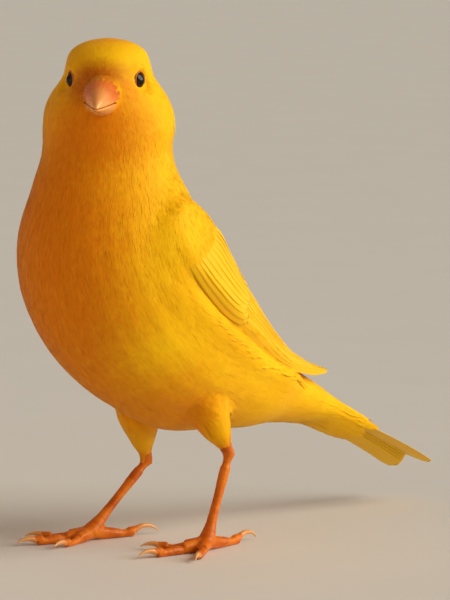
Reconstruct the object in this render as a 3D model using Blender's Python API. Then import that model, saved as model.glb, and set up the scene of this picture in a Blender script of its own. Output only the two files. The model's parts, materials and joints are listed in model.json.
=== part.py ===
"""A life-size canary, standing, with its head turned to its left.

The bird faces -Y with its left side at +X and the floor at z = 0. Sizes are in millimetres, and each mesh is
made in metres. One row of sections, the spine, runs from the tail tip to the crown. The plumage of the torso,
neck and head is lofted through it, and the wings, legs and bill are placed on it.
"""

import math
from collections import namedtuple

import bmesh
import bpy
from mathutils import Matrix, Vector

MM = 0.001
GAP = 0.3
FLAT = 0.12

# Sections of the plumage, square to the spine. y and z place the centre, and lean is the spine's slope in
# degrees. width, front and back are the section's reach to each side, to the breast and to the back. roll
# lifts its left side, turn is how far it is turned to the bird's left, and pinch is how much narrower its
# front half is.
Section = namedtuple("Section", "y z lean width front back roll turn pinch")
SPINE = (
    Section(79.5, 8.8, 25, 6.6, 1.2, 1.1, 12, 0, 0),
    Section(69.5, 14.4, 26, 7.2, 2.2, 1.8, 12, 0, 0),
    Section(56.5, 20.8, 26, 7.2, 3.3, 2.6, 11, 0, 0),
    Section(44.5, 26.2, 27, 7.8, 4.9, 4.2, 8, 0, 0),
    Section(32.5, 30.8, 31, 10.2, 8.5, 6.8, 4, 0, 0),
    Section(20.0, 36.5, 38, 14.8, 14.4, 10.6, 0, 0, 0),
    Section(7.3, 43.6, 46, 18.5, 20.3, 15.2, 0, 0, 0),
    Section(-3.3, 52.3, 53, 20.4, 22.1, 18.0, 0, 0, 0),
    Section(-10.3, 62.5, 61, 20.8, 22.2, 18.7, 0, 0, 0),
    Section(-13.4, 72.0, 69, 19.0, 20.2, 17.6, 0, 0, 0),
    Section(-13.4, 80.0, 77, 15.8, 16.8, 14.9, 0, 0, 0),
    Section(-12.9, 86.0, 84, 14.0, 13.9, 13.5, 0, 8, 0),
    Section(-12.9, 90.6, 90, 14.2, 12.9, 14.0, 0, 22, 0.04),
    Section(-12.9, 94.8, 90, 13.5, 12.3, 13.6, 0, 36, 0.10),
    Section(-12.9, 98.2, 90, 11.8, 11.8, 13.2, 0, 42, 0.20),
    Section(-12.9, 101.2, 90, 9.6, 11.0, 12.3, 0, 42, 0.22),
    Section(-12.9, 104.2, 90, 8.8, 9.6, 10.9, 0, 42, 0.10),
    Section(-12.9, 106.8, 90, 7.8, 7.2, 8.6, 0, 42, 0.04),
    Section(-12.9, 108.7, 90, 4.6, 4.0, 4.8, 0, 42, 0),
    Section(-12.9, 109.5, 90, 0.0, 0.0, 0.0, 0, 42, 0),
)
TAIL_ROOT = 3.0
SHOULDER = 9.9
THROAT = 12.3
CROWN = len(SPINE) - 1
NECK_AXIS = Vector((0, -12.9, 0))
HEAD_TURN = math.radians(42)

# The eye's centre and the bill's root, as side, forward and height in the head's own directions.
EYE_PLACE = Vector((5.8, 4.1, 101.0))
EYE_RADIUS = 2.3
EYE_FORWARD = 24
LID_RADIUS = 1.75
LID_THICK = 0.35

BILL_ROOT = Vector((0, 8.4, 97.9))
BILL_LENGTH = 12.4
BILL_WIDTH = 4.9
BILL_TOP = 5.3
BILL_BOTTOM = 4.8
BILL_DROOP = 4
GAPE_DROP = 0.9
MOUTH_DROP = 0.35
MOUTH_SLOPE = 3
NOSTRIL_PLACE = Vector((2.3, 10.3, 101.2))
NOSTRIL_RADIUS = 0.55
BROW_PLACE = Vector((6.5, 3.4, 103.9))
BROW_SIZE = (1.9, 3.6, 1.0)

# Stations of a folded wing from the wrist to the tip: the spine section beside it, the angles of its lower
# and upper edges, the clearance under it and its thickness.
WingStation = namedtuple("WingStation", "spine low high clear thick")
WING = (
    WingStation(9.35, 13, 21, 0.3, 0.8),
    WingStation(9.0, 1, 34, 0.3, 1.9),
    WingStation(8.2, -1, 50, 0.3, 2.3),
    WingStation(7.2, 8, 60, 0.3, 2.2),
    WingStation(6.2, 14, 64, 0.3, 2.0),
    WingStation(5.1, 19, 66, 0.4, 1.8),
    WingStation(4.3, 27, 66, 0.9, 1.6),
    WingStation(3.7, 36, 66, 1.9, 1.4),
    WingStation(3.25, 50, 62, 3.4, 1.0),
)

# A tier of feathers on the folded wing. Its feathers run from the lower edge upwards, each lying over the one
# below it. The first and last feathers' roots and tips are given as shares of the wing's length and height,
# reach is how much further along the wing the longest feather's tip lies, skew below 1 brings that feather
# nearer the first one, half is half a feather's width, lift is how far the tier stands off the body, and
# point is how wide the tips are.
Tier = namedtuple("Tier", "name count root_first root_last tip_first tip_last reach skew half lift point")
WING_TIERS = (
    Tier("primary", 9, (0.50, 0.06), (0.46, 0.46), (0.93, 0.10), (0.80, 0.62), 0.10, 0.6, 2.1, 0.8, 0.22),
    Tier("secondary", 5, (0.31, 0.36), (0.32, 0.70), (0.76, 0.40), (0.67, 0.70), 0.01, 1, 3.0, 1.35, 0.5),
    Tier("tertial", 3, (0.31, 0.70), (0.29, 0.86), (0.64, 0.66), (0.46, 0.84), 0, 1, 3.3, 1.75, 0.45),
    Tier("primary_covert", 3, (0.17, 0.06), (0.16, 0.2), (0.4, 0.08), (0.36, 0.22), 0.01, 1, 1.7, 1.3, 0.35),
    Tier("greater_covert", 5, (0.15, 0.26), (0.16, 0.82), (0.37, 0.28), (0.36, 0.84), 0.02, 1, 3.2, 1.9, 0.5),
    Tier("alula", 2, (0.06, 0.12), (0.06, 0.22), (0.25, 0.06), (0.20, 0.17), 0, 1, 1.6, 1.7, 0.4),
    Tier("median_covert", 4, (0.05, 0.30), (0.08, 0.64), (0.21, 0.26), (0.22, 0.70), 0.01, 1, 3.5, 2.2, 0.6),
)
WING_CORE_END = 0.66
WING_CORE_LIFT = 1.9
WING_FULL_LIFT = 2.9

# The shares of a feather's length at which it has a row of points. Then how thick it is, how far it stays off
# the core's inner face, how much its lower edge stands over its upper one, how much each one lies over the one
# before, how low its root lies and the rise of its quill. A feather with a half width under NARROW_VANE has no
# row of points along its quill.
VANE_ROWS = (0, 0.5, 0.85, 1.0)
VANE_THICK = 0.55
VANE_CLEAR = 0.35
VANE_TILT = 0.26
VANE_STACK = 0.08
VANE_SUNK_ROOT = 0.55
NARROW_VANE = 2.5
QUILL_RISE = 0.1

# Each side of the tail, from the middle feather outwards: how far apart the feathers lie at the root and the
# tip, half a feather's width, how much lower each one lies than the last, how much its outer edge hangs, how
# much longer the outermost one is, and the arch over all of them. The core is the root that carries them.
TAIL_FEATHERS = 6
TAIL_ROOT_SPREAD = 0.55
TAIL_TIP_SPREAD = 0.86
TAIL_HALF_WIDTH = 2.1
TAIL_POINT = 0.3
TAIL_STEP_DOWN = 0.22
TAIL_EDGE_DROP = 0.15
TAIL_LEFT_OVER_RIGHT = 0.05
TAIL_FORK = 0.32
TAIL_ARCH_RADIUS = 70
TAIL_CORE_END = 1.5
TAIL_CORE_SINK = 2.1

# Each leg's knee, heel and knuckle, and the heading of its toes, in degrees from straight ahead, to the left.
Leg = namedtuple("Leg", "knee heel knuckle toes")
LEGS = {
    "left": Leg((9.8, 3.6, 36.0), (11.6, 10.9, 20.0), (12.1, 3.9, 2.0), (186, -45, -8, 38)),
    "right": Leg((-8.5, 0.5, 35.0), (-12.4, 8.8, 15.8), (-13.5, -6.5, 2.0), (164, 15, -16, -43)),
}
THIGH_RADII = (4.6, 4.2, 3.3, 2.5, 1.7)
CUFF_BELOW_HEEL = 2.6
SHANK_RADIUS = 1.15
SHANK_SWELL = (1.3, 1.12, 1.0, 0.97, 1.0, 1.1, 1.3)
KNUCKLE_RADIUS = 1.7
TOE_LENGTHS = (10.2, 9.5, 12.6, 9.8)
TOE_RADII = (1.25, 1.0, 1.15, 1.0)
TOE_PADS = (2, 2, 3, 3)
TOE_RINGS = 9
TOE_PAD_SWELL = 0.13
TOE_TAPER = 0.22
CLAW_LENGTHS = (6.8, 4.6, 5.0, 4.6)
CLAW_RISE = (32, 24, 22, 24)
CLAW_CURL = (95, 62, 62, 62)
CLAW_RADIUS = 0.72
CLAW_STEPS = 7
CLAW_TAPER = 0.86

RINGS_PER_SECTION = 3
TORSO_SIDES = 28
HEAD_SIDES = 26

COLOURS = {
    "plumage": ((0.90, 0.52, 0.02), 0.75),
    "flight_feathers": ((0.92, 0.60, 0.08), 0.65),
    "bill": ((0.86, 0.42, 0.18), 0.40),
    "eye": ((0.02, 0.012, 0.01), 0.08),
    "leg_skin": ((0.80, 0.26, 0.06), 0.50),
    "claw": ((0.72, 0.33, 0.12), 0.40),
}


def material(name):
    colour, roughness = COLOURS[name]
    made = bpy.data.materials.get(name) or bpy.data.materials.new(name)
    made.use_nodes = True
    shader = made.node_tree.nodes["Principled BSDF"]
    shader.inputs["Base Color"].default_value = (*colour, 1)
    shader.inputs["Roughness"].default_value = roughness
    return made


def smooth_between(rows, t):
    """Each column of the rows, read at place t along a Catmull-Rom curve through them."""
    last = len(rows) - 1
    i = min(max(math.floor(t), 0), last - 1)
    f = t - i
    near = [rows[min(max(k, 0), last)] for k in (i - 1, i, i + 1, i + 2)]
    return [
        b + 0.5 * f * (c - a + f * (2 * a - 5 * b + 4 * c - d + f * (3 * (b - c) + d - a)))
        for a, b, c, d in zip(*near)
    ]


def body_point(spine, angle, lift=0.0):
    """A point of the plumage's surface, at an angle in degrees: 0 is the bird's left and 90 is its back."""
    s = Section(*smooth_between(SPINE, spine))
    a, lean = math.radians(angle), math.radians(s.lean)
    ahead = max(0.0, -math.sin(a))
    across = (s.width * (1 - s.pinch * ahead) + lift) * math.cos(a)
    depth = ((s.back if math.sin(a) > 0 else s.front) + lift) * math.sin(a)
    across, depth = Matrix.Rotation(math.radians(s.roll), 2) @ Vector((across, depth))
    point = Vector((across, s.y + depth * math.sin(lean), s.z + depth * math.cos(lean)))
    turn = Matrix.Rotation(math.radians(s.turn), 3, "Z")
    return NECK_AXIS + turn @ (point - NECK_AXIS)


def short_of(spine):
    """The place on the spine that lies a gap short of this one, towards the tail."""
    step = 0.1
    here, there = (Vector(smooth_between(SPINE, place)[:2]) for place in (spine, spine - step))
    return spine - step * GAP / (here - there).length


def head_point(side, forward, height):
    """A place given in the head's own directions, in the bird's."""
    turn = Matrix.Rotation(HEAD_TURN, 3, "Z")
    return NECK_AXIS + turn @ Vector((side, -forward, height))


def new_object(name, bm, slot=None):
    """A mesh object from bm, whose points are in millimetres."""
    bmesh.ops.scale(bm, vec=(MM, MM, MM), verts=bm.verts)
    bmesh.ops.recalc_face_normals(bm, faces=bm.faces)
    mesh = bpy.data.meshes.new(name)
    bm.to_mesh(mesh)
    bm.free()
    if slot:
        mesh.materials.append(material(slot))
    mesh.shade_smooth()
    mesh.set_sharp_from_angle(angle=math.radians(40))
    obj = bpy.data.objects.new(name, mesh)
    bpy.context.collection.objects.link(obj)
    return obj


def loft(name, rings, slot=None):
    """A closed solid through rings of like count. A ring of one point closes an end; others are capped."""
    bm = bmesh.new()
    made = [[bm.verts.new(p) for p in ring] for ring in rings]
    for low, high in zip(made, made[1:]):
        count = max(len(low), len(high))
        for k in range(count):
            corners = [low[k % len(low)], low[(k + 1) % len(low)]]
            corners += [high[(k + 1) % len(high)], high[k % len(high)]]
            bm.faces.new(dict.fromkeys(corners))
    for end in (made[0], made[-1]):
        if len(end) > 2:
            bm.faces.new(end)
    bmesh.ops.triangulate(bm, faces=bm.faces)
    return new_object(name, bm, slot)


def body_loft(name, start, end, sides, lift=0.0, slot=None):
    """The plumage between two places on the spine, grown by lift."""
    steps = max(2, round((end - start) * RINGS_PER_SECTION))
    rings = []
    for n in range(steps + 1):
        spine = start + (end - start) * n / steps
        if Section(*smooth_between(SPINE, spine)).width < 0.01:
            rings.append([body_point(spine, 90, lift)])
        else:
            rings.append([body_point(spine, 360 * k / sides, lift) for k in range(sides)])
    return loft(name, rings, slot)


def tube(name, points, radii, sides=8, slot=None):
    """A solid tube through points with a radius at each, from a bevelled curve."""
    curve = bpy.data.curves.new(name, "CURVE")
    curve.dimensions = "3D"
    curve.bevel_depth = MM
    curve.bevel_resolution = sides // 4
    curve.use_fill_caps = True
    spline = curve.splines.new("POLY")
    spline.points.add(len(points) - 1)
    for place, point, radius in zip(spline.points, points, radii):
        place.co = (*(Vector(point) * MM), 1)
        place.radius = radius
    drawn = bpy.data.objects.new(name, curve)
    bpy.context.collection.objects.link(drawn)
    bpy.context.view_layer.update()
    evaluated = drawn.evaluated_get(bpy.context.evaluated_depsgraph_get())
    mesh = bpy.data.meshes.new_from_object(evaluated)
    bm = bmesh.new()
    bm.from_mesh(mesh)
    bpy.data.objects.remove(drawn)
    bpy.data.curves.remove(curve)
    bpy.data.meshes.remove(mesh)
    bmesh.ops.remove_doubles(bm, verts=bm.verts, dist=1e-6)
    bmesh.ops.triangulate(bm, faces=bm.faces)
    bmesh.ops.scale(bm, vec=(1 / MM,) * 3, verts=bm.verts)
    return new_object(name, bm, slot)


def ball(name, centre, radius, segments, rings, slot=None):
    bm = bmesh.new()
    bmesh.ops.create_uvsphere(bm, u_segments=segments, v_segments=rings, radius=radius)
    bmesh.ops.translate(bm, vec=centre, verts=bm.verts)
    return new_object(name, bm, slot)


def apply_boolean(obj, operation, others, solver="EXACT"):
    """Joins others to obj or cuts them from it, removes them, and keeps the largest closed surface."""
    group = bpy.data.collections.new("tools")
    bpy.context.scene.collection.children.link(group)
    for other in others:
        group.objects.link(other)
    change = obj.modifiers.new("boolean", "BOOLEAN")
    change.operation = operation
    change.operand_type = "COLLECTION"
    change.collection = group
    change.solver = solver
    bpy.context.view_layer.update()
    evaluated = obj.evaluated_get(bpy.context.evaluated_depsgraph_get())
    mesh = bpy.data.meshes.new_from_object(evaluated)
    obj.modifiers.clear()
    obj.data = mesh
    for other in others:
        bpy.data.objects.remove(other)
    bpy.data.collections.remove(group)
    keep_largest(obj)
    return obj


def keep_largest(obj):
    """Leaves only the closed surface with the greatest volume."""
    bm = bmesh.new()
    bm.from_mesh(obj.data)
    left = set(bm.faces)
    shells = []
    while left:
        found, rim = [], [left.pop()]
        while rim:
            face = rim.pop()
            found.append(face)
            beside = {other for edge in face.edges if len(edge.link_faces) == 2 for other in edge.link_faces}
            rim.extend(beside & left)
            left -= beside
        shells.append(found)
    shells.sort(key=shell_volume)
    scraps = [face for shell in shells[:-1] for face in shell]
    bmesh.ops.delete(bm, geom=scraps, context="FACES")
    bmesh.ops.triangulate(bm, faces=bm.faces)
    bm.to_mesh(obj.data)
    bm.free()


def shell_volume(faces):
    total = 0.0
    for face in faces:
        corners = [v.co for v in face.verts]
        for b, c in zip(corners[1:], corners[2:]):
            total += corners[0].dot(b.cross(c)) / 6
    return abs(total)


def cut_flat(obj, place, normal):
    """Cuts away what lies on the normal's side of a plane, and closes the cut."""
    bm = bmesh.new()
    bm.from_mesh(obj.data)
    everything = list(bm.verts) + list(bm.edges) + list(bm.faces)
    cut = bmesh.ops.bisect_plane(
        bm, geom=everything, dist=1e-7, plane_co=Vector(place) * MM, plane_no=normal, clear_outer=True
    )
    edges = [e for e in cut["geom_cut"] if isinstance(e, bmesh.types.BMEdge)]
    bmesh.ops.holes_fill(bm, edges=edges)
    bmesh.ops.triangulate(bm, faces=bm.faces)
    bmesh.ops.recalc_face_normals(bm, faces=bm.faces)
    bm.to_mesh(obj.data)
    bm.free()
    return obj


def eye_axis(side):
    """The way an eye looks, side being 1 for the left and -1 for the right."""
    forward = math.radians(EYE_FORWARD)
    look = Vector((side * math.cos(forward), -math.sin(forward), 0))
    return Matrix.Rotation(HEAD_TURN, 3, "Z") @ look


def eye_centre(side):
    return head_point(side * EYE_PLACE.x, EYE_PLACE.y, EYE_PLACE.z)


def lid_ring(side):
    """The thick rim of the eyelids, a torus round the eye's opening."""
    axis = eye_axis(side)
    depth = math.sqrt(EYE_RADIUS**2 - (LID_RADIUS - LID_THICK / 2) ** 2)
    bpy.ops.mesh.primitive_torus_add(
        major_segments=14, minor_segments=5, major_radius=LID_RADIUS * MM, minor_radius=LID_THICK * MM
    )
    ring = bpy.context.object
    place = eye_centre(side) + axis * (depth + LID_THICK / 2)
    turn = axis.to_track_quat("Z", "Y").to_matrix().to_4x4()
    ring.data.transform(Matrix.Translation(place * MM) @ turn)
    return ring


def brow(side):
    """The low ridge of feathers over an eye."""
    ridge = ball("brow", (0, 0, 0), 1, 12, 8)
    turn = Matrix.Rotation(HEAD_TURN, 4, "Z")
    place = head_point(side * BROW_PLACE.x, BROW_PLACE.y, BROW_PLACE.z)
    ridge.data.transform(Matrix.Translation(place * MM) @ turn @ Matrix.Diagonal((*BROW_SIZE, 1)))
    return ridge


def make_head():
    head = body_loft("head", THROAT, CROWN, HEAD_SIDES, slot="plumage")
    apply_boolean(head, "UNION", [shape(side) for side in (1, -1) for shape in (lid_ring, brow)])
    sockets = [ball("socket", eye_centre(side), EYE_RADIUS + GAP, 12, 8) for side in (1, -1)]
    return apply_boolean(head, "DIFFERENCE", sockets)


def make_eyes():
    for name, side in (("eye_left", 1), ("eye_right", -1)):
        ball(name, eye_centre(side), EYE_RADIUS, 12, 8, slot="eye")


def bill_ring(q, sides=20):
    """A section of the whole bill at share q of its length, from the root to the tip."""
    droop = math.radians(BILL_DROOP)
    ring = []
    for k in range(sides):
        a = math.radians(360 * k / sides)
        upper = math.sin(a) > 0
        width = BILL_WIDTH * (1 - q) ** 0.78
        height = BILL_TOP * (1 - q) ** 0.66 if upper else BILL_BOTTOM * (1 - q) ** 0.85
        along, up = BILL_LENGTH * q, height * math.sin(a) - GAPE_DROP * q * q
        forward = BILL_ROOT.y + along * math.cos(droop) + up * math.sin(droop)
        rise = BILL_ROOT.z - along * math.sin(droop) + up * math.cos(droop)
        ring.append(head_point(width * math.cos(a), forward, rise))
    return ring


def nostril(side):
    """The cutter of a nostril, a small pit beside the root of the bill."""
    return ball("nostril", head_point(side * NOSTRIL_PLACE.x, *NOSTRIL_PLACE[1:]), NOSTRIL_RADIUS, 8, 6)


def make_bill():
    """Both halves of the bill, parted along the mouth and fitted to the face."""
    shares = [0, 0.12, 0.25, 0.38, 0.5, 0.62, 0.73, 0.83, 0.91, 0.97]
    tip = bill_ring(1)[0]
    slope = math.radians(BILL_DROOP + MOUTH_SLOPE)
    down = Matrix.Rotation(HEAD_TURN, 3, "Z") @ Vector((0, math.sin(slope), -math.cos(slope)))
    mouth = head_point(*BILL_ROOT) + down * MOUTH_DROP
    for name, sign in (("bill_upper", 1), ("bill_lower", -1)):
        half = loft(name, [bill_ring(q) for q in shares] + [[tip]], slot="bill")
        cut_flat(half, mouth - down * sign * GAP / 2, down * sign)
        cutters = [body_loft("face", THROAT, CROWN, HEAD_SIDES, lift=GAP)]
        if sign > 0:
            cutters += [nostril(1), nostril(-1)]
        apply_boolean(half, "DIFFERENCE", cutters)


def wing_station(share):
    """The folded wing's row of sizes at a share of its length."""
    return WingStation(*smooth_between(WING, share * (len(WING) - 1)))


def wing_point(side, share, height, aside, lift):
    """A point over the wing, at shares of its length and height, aside in mm towards its upper edge."""
    w = wing_station(share)
    radius = Section(*smooth_between(SPINE, w.spine)).width + w.clear
    angle = w.low + (w.high - w.low) * height + math.degrees(aside / radius)
    point = body_point(w.spine, angle, w.clear + w.thick * lift / WING_FULL_LIFT)
    point.x *= side
    return point


def wing_core(name, side):
    """The wing under its feathers, a low form that thins to its edges and its end."""
    steps, across = 10, 6
    rings = []
    for n in range(steps + 1):
        share = WING_CORE_END * n / steps
        crown = WING_CORE_LIFT * (1 - 0.8 * (n / steps) ** 4)
        outer = [(k / across, math.sin(math.pi * (0.1 + 0.8 * k / across)) ** 0.5) for k in range(across + 1)]
        inner = [(k / across, 0) for k in range(across - 1, 0, -1)]
        rings.append([wing_point(side, share, h, 0, rise * crown) for h, rise in outer + inner])
    return loft(name, rings, slot="flight_feathers")


def vane(name, top, bottom):
    """A thin feather from two like grids of points, its upper and its lower face."""
    bm = bmesh.new()
    rows, columns = len(top), len(top[0])
    upper = [[bm.verts.new(p) for p in row] for row in top]
    lower = [[bm.verts.new(p) for p in row] for row in bottom]
    for i in range(rows - 1):
        for j in range(columns - 1):
            for grid in (upper, lower):
                a, b, c, d = grid[i][j], grid[i + 1][j], grid[i + 1][j + 1], grid[i][j + 1]
                bm.faces.new((a, b, c))
                bm.faces.new((a, c, d))
    rim = [(i, 0) for i in range(rows)] + [(rows - 1, j) for j in range(1, columns)]
    rim += [(i, columns - 1) for i in range(rows - 2, -1, -1)] + [(0, j) for j in range(columns - 2, 0, -1)]
    for (i, j), (m, n) in zip(rim, rim[1:] + rim[:1]):
        bm.faces.new((upper[i][j], upper[m][n], lower[m][n], lower[i][j]))
    bmesh.ops.triangulate(bm, faces=[f for f in bm.faces if len(f.verts) > 3])
    return new_object(name, bm)


def feather_width(share, point):
    """How wide a feather is at a share of its length, against its widest place. It narrows to its tip."""
    root = 0.55 + 0.45 * min(1.0, share / 0.4)
    end = max(0.0, (share - 0.7) / 0.3)
    return root * (1 - (1 - point) * end**1.8)


def wing_feather(side, tier, k):
    """One feather of a tier, laid over the wing."""
    q = k / (tier.count - 1)
    root = [a + (b - a) * q for a, b in zip(tier.root_first, tier.root_last)]
    tip = [a + (b - a) * q for a, b in zip(tier.tip_first, tier.tip_last)]
    tip[0] += tier.reach * math.sin(math.pi * q**tier.skew)
    top, bottom = [], []
    for share in VANE_ROWS:
        along, height = (a + (b - a) * share for a, b in zip(root, tip))
        half = tier.half * feather_width(share, tier.point)
        highs, lows = [], []
        for across in (-1, 1) if tier.half < NARROW_VANE else (-1, 0, 1):
            lift = tier.lift + VANE_STACK * k - VANE_TILT * across + QUILL_RISE * (1 - abs(across))
            lift *= VANE_SUNK_ROOT + (1 - VANE_SUNK_ROOT) * min(1, share / 0.3)
            place = (side, along, height, half * across)
            lift_per_mm = WING_FULL_LIFT / wing_station(along).thick
            low = max(VANE_CLEAR * lift_per_mm, lift - VANE_THICK * lift_per_mm)
            highs.append(wing_point(*place, low + VANE_THICK * lift_per_mm))
            lows.append(wing_point(*place, low))
        top.append(highs)
        bottom.append(lows)
    return vane(f"{tier.name}_{k}", top, bottom)


def make_wing(name, side):
    """The folded wing: its tiers of feathers joined over a core."""
    wing = wing_core(name, side)
    feathers = [wing_feather(side, tier, k) for tier in WING_TIERS for k in range(tier.count)]
    return apply_boolean(wing, "UNION", feathers)


def tail_point(spine, across, up):
    """A point over the tail, across in mm to the bird's left and up from its middle surface."""
    s = Section(*smooth_between(SPINE, spine))
    lean = math.radians(s.lean)
    depth = up - across * across / (2 * TAIL_ARCH_RADIUS)
    across, depth = Matrix.Rotation(math.radians(s.roll), 2) @ Vector((across, depth))
    return Vector((across, s.y + depth * math.sin(lean), s.z + depth * math.cos(lean)))


def tail_core(sides=12, steps=4):
    """The root of the tail, full where it meets the rump and thin where it ends among the feathers."""
    rings = []
    for n in range(steps + 1):
        q = n / steps
        spine = short_of(TAIL_ROOT) + (TAIL_CORE_END - TAIL_ROOT) * q
        rings.append([body_point(spine, 360 * k / sides, -TAIL_CORE_SINK * q) for k in range(sides)])
    return loft("tail", rings, slot="flight_feathers")


def tail_feather(side, k):
    """One tail feather, k counted from the middle outwards."""
    outward = k / (TAIL_FEATHERS - 1)
    start, end = short_of(TAIL_ROOT), TAIL_FORK * (1 - outward)
    top, bottom = [], []
    for share in VANE_ROWS:
        spine = start + (end - start) * share
        spread = TAIL_ROOT_SPREAD + (TAIL_TIP_SPREAD - TAIL_ROOT_SPREAD) * share
        middle = side * (k + 0.5) * spread
        half = TAIL_HALF_WIDTH * feather_width(share, TAIL_POINT)
        highs, lows = [], []
        for across in (-1, 0, 1):
            up = TAIL_STEP_DOWN * (TAIL_FEATHERS / 2 - k) - TAIL_EDGE_DROP * side * across
            up += QUILL_RISE * (1 - abs(across)) + TAIL_LEFT_OVER_RIGHT * side
            highs.append(tail_point(spine, middle + half * across, up))
            lows.append(tail_point(spine, middle + half * across, up - VANE_THICK))
        top.append(highs)
        bottom.append(lows)
    return vane(f"tail_feather_{k}", top, bottom)


def make_tail():
    """The folded tail: twelve feathers over a short root, the middle ones on top and the outer ones longer."""
    tail = tail_core()
    feathers = [tail_feather(side, k) for side in (1, -1) for k in range(TAIL_FEATHERS)]
    return apply_boolean(tail, "UNION", feathers)


def along_curve(points, share):
    return Vector(smooth_between([tuple(p) for p in points], share * (len(points) - 1)))


def make_leg(side):
    """Thigh, shank, foot and claws of one leg."""
    leg = LEGS[side]
    knee, heel, knuckle = (Vector(p) for p in (leg.knee, leg.heel, leg.knuckle))
    down = (knuckle - heel).normalized()
    cuff = heel + down * CUFF_BELOW_HEEL
    points = [knee, knee.lerp(heel, 0.5), knee.lerp(heel, 0.82), heel, cuff]
    shares = [n / 10 for n in range(11)]
    radii = [smooth_between([(r,) for r in THIGH_RADII], q * (len(points) - 1))[0] for q in shares]
    thigh = tube(f"thigh_{side}", [along_curve(points, q) for q in shares], radii, 12, "plumage")
    apply_boolean(thigh, "DIFFERENCE", [body_loft("flank", TAIL_ROOT, SHOULDER, TORSO_SIDES, lift=GAP)])
    make_shank(side, cuff + down * GAP, knuckle)
    make_foot(side, leg, knuckle)


def make_shank(side, top, knuckle):
    down = (knuckle - top).normalized()
    bottom = knuckle - down * (KNUCKLE_RADIUS + GAP)
    points = [top.lerp(bottom, n / (len(SHANK_SWELL) - 1)) for n in range(len(SHANK_SWELL))]
    tube(f"shank_{side}", points, [SHANK_RADIUS * swell for swell in SHANK_SWELL], 12, "leg_skin")


def toe_line(leg, knuckle, digit):
    """Centre points and radii of a toe, each pad lying on the floor."""
    heading = math.radians(leg.toes[digit])
    ahead = Vector((math.sin(heading), -math.cos(heading), 0))
    length, radius, pads = TOE_LENGTHS[digit], TOE_RADII[digit], TOE_PADS[digit]
    points, radii = [], []
    for n in range(TOE_RINGS):
        q = n / (TOE_RINGS - 1)
        swell = 1 + TOE_PAD_SWELL * math.cos(2 * math.pi * pads * q)
        r = radius * swell * (1 - TOE_TAPER * q)
        place = Vector((knuckle.x, knuckle.y, 0)) + ahead * length * q
        place.z = r - FLAT + (knuckle.z - radius) * max(0, 1 - q * 3.5) ** 2
        points.append(place)
        radii.append(r)
    return points, radii, ahead


def make_foot(side, leg, knuckle):
    foot = ball(f"foot_{side}", knuckle, KNUCKLE_RADIUS, 12, 8, slot="leg_skin")
    toes = []
    for digit in range(4):
        points, radii, ahead = toe_line(leg, knuckle, digit)
        toes.append(tube(f"toe_{side}_{digit + 1}", points, radii, 8))
        make_claw(side, digit, points[-1], radii[-1], ahead)
    apply_boolean(foot, "UNION", toes)
    cut_flat(foot, (0, 0, 0), (0, 0, -1))


def make_claw(side, digit, toe_end, toe_radius, ahead):
    """A tapered claw that rises from the toe's end and curls down."""
    length = CLAW_LENGTHS[digit]
    place = toe_end + ahead * GAP + Vector((0, 0, 0.25 * toe_radius))
    points, radii = [], []
    for n in range(CLAW_STEPS + 1):
        q = n / CLAW_STEPS
        slope = math.radians(CLAW_RISE[digit] - CLAW_CURL[digit] * q)
        points.append(place.copy())
        radii.append(CLAW_RADIUS * (1 - CLAW_TAPER * q**1.3))
        place = place + (ahead * math.cos(slope) + Vector((0, 0, math.sin(slope)))) * length / CLAW_STEPS
    tube(f"claw_{side}_{digit + 1}", points, radii, 8, "claw")


def centre_on_floor():
    """Moves the whole bird so that its box stands over the origin."""
    bpy.context.view_layer.update()
    parts = [o for o in bpy.context.scene.objects if o.type == "MESH"]
    corners = [o.matrix_world @ Vector(c) for o in parts for c in o.bound_box]
    middle = [(min(c[i] for c in corners) + max(c[i] for c in corners)) / 2 for i in range(2)]
    lowest = min(c.z for c in corners)
    holder = bpy.data.objects.new("canary_frame", None)
    bpy.context.collection.objects.link(holder)
    for o in parts:
        o.parent = holder
    holder.location = (-middle[0], -middle[1], -lowest)


def main():
    for obj in list(bpy.data.objects):
        bpy.data.objects.remove(obj)
    canary = bpy.data.collections.new("canary")
    bpy.context.scene.collection.children.link(canary)
    layer = bpy.context.view_layer
    layer.active_layer_collection = layer.layer_collection.children["canary"]
    body_loft("torso", TAIL_ROOT, short_of(SHOULDER), TORSO_SIDES, slot="plumage")
    body_loft("neck", SHOULDER, short_of(THROAT), TORSO_SIDES, slot="plumage")
    make_head()
    make_eyes()
    make_bill()
    make_wing("wing_left", 1)
    make_wing("wing_right", -1)
    make_tail()
    make_leg("left")
    make_leg("right")
    centre_on_floor()


main()
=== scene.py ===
"""Dresses the canary's solids in one skin with a coat of small feathers, wings and tail laid feather by
feather, eyes, bill, scaled legs and claws, and stands it on a pale floor in soft light.

Shapes are worked out in millimetres in the part's own drawing, and placed in metres. The drawing's origin is
found from the eyes. The bird faces -Y and its left side is at +X.
"""

import json
import math
from collections import namedtuple

import bmesh
import bpy
import numpy as np
from mathutils import Matrix, Vector
from mathutils.bvhtree import BVHTree
from mathutils.kdtree import KDTree

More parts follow.
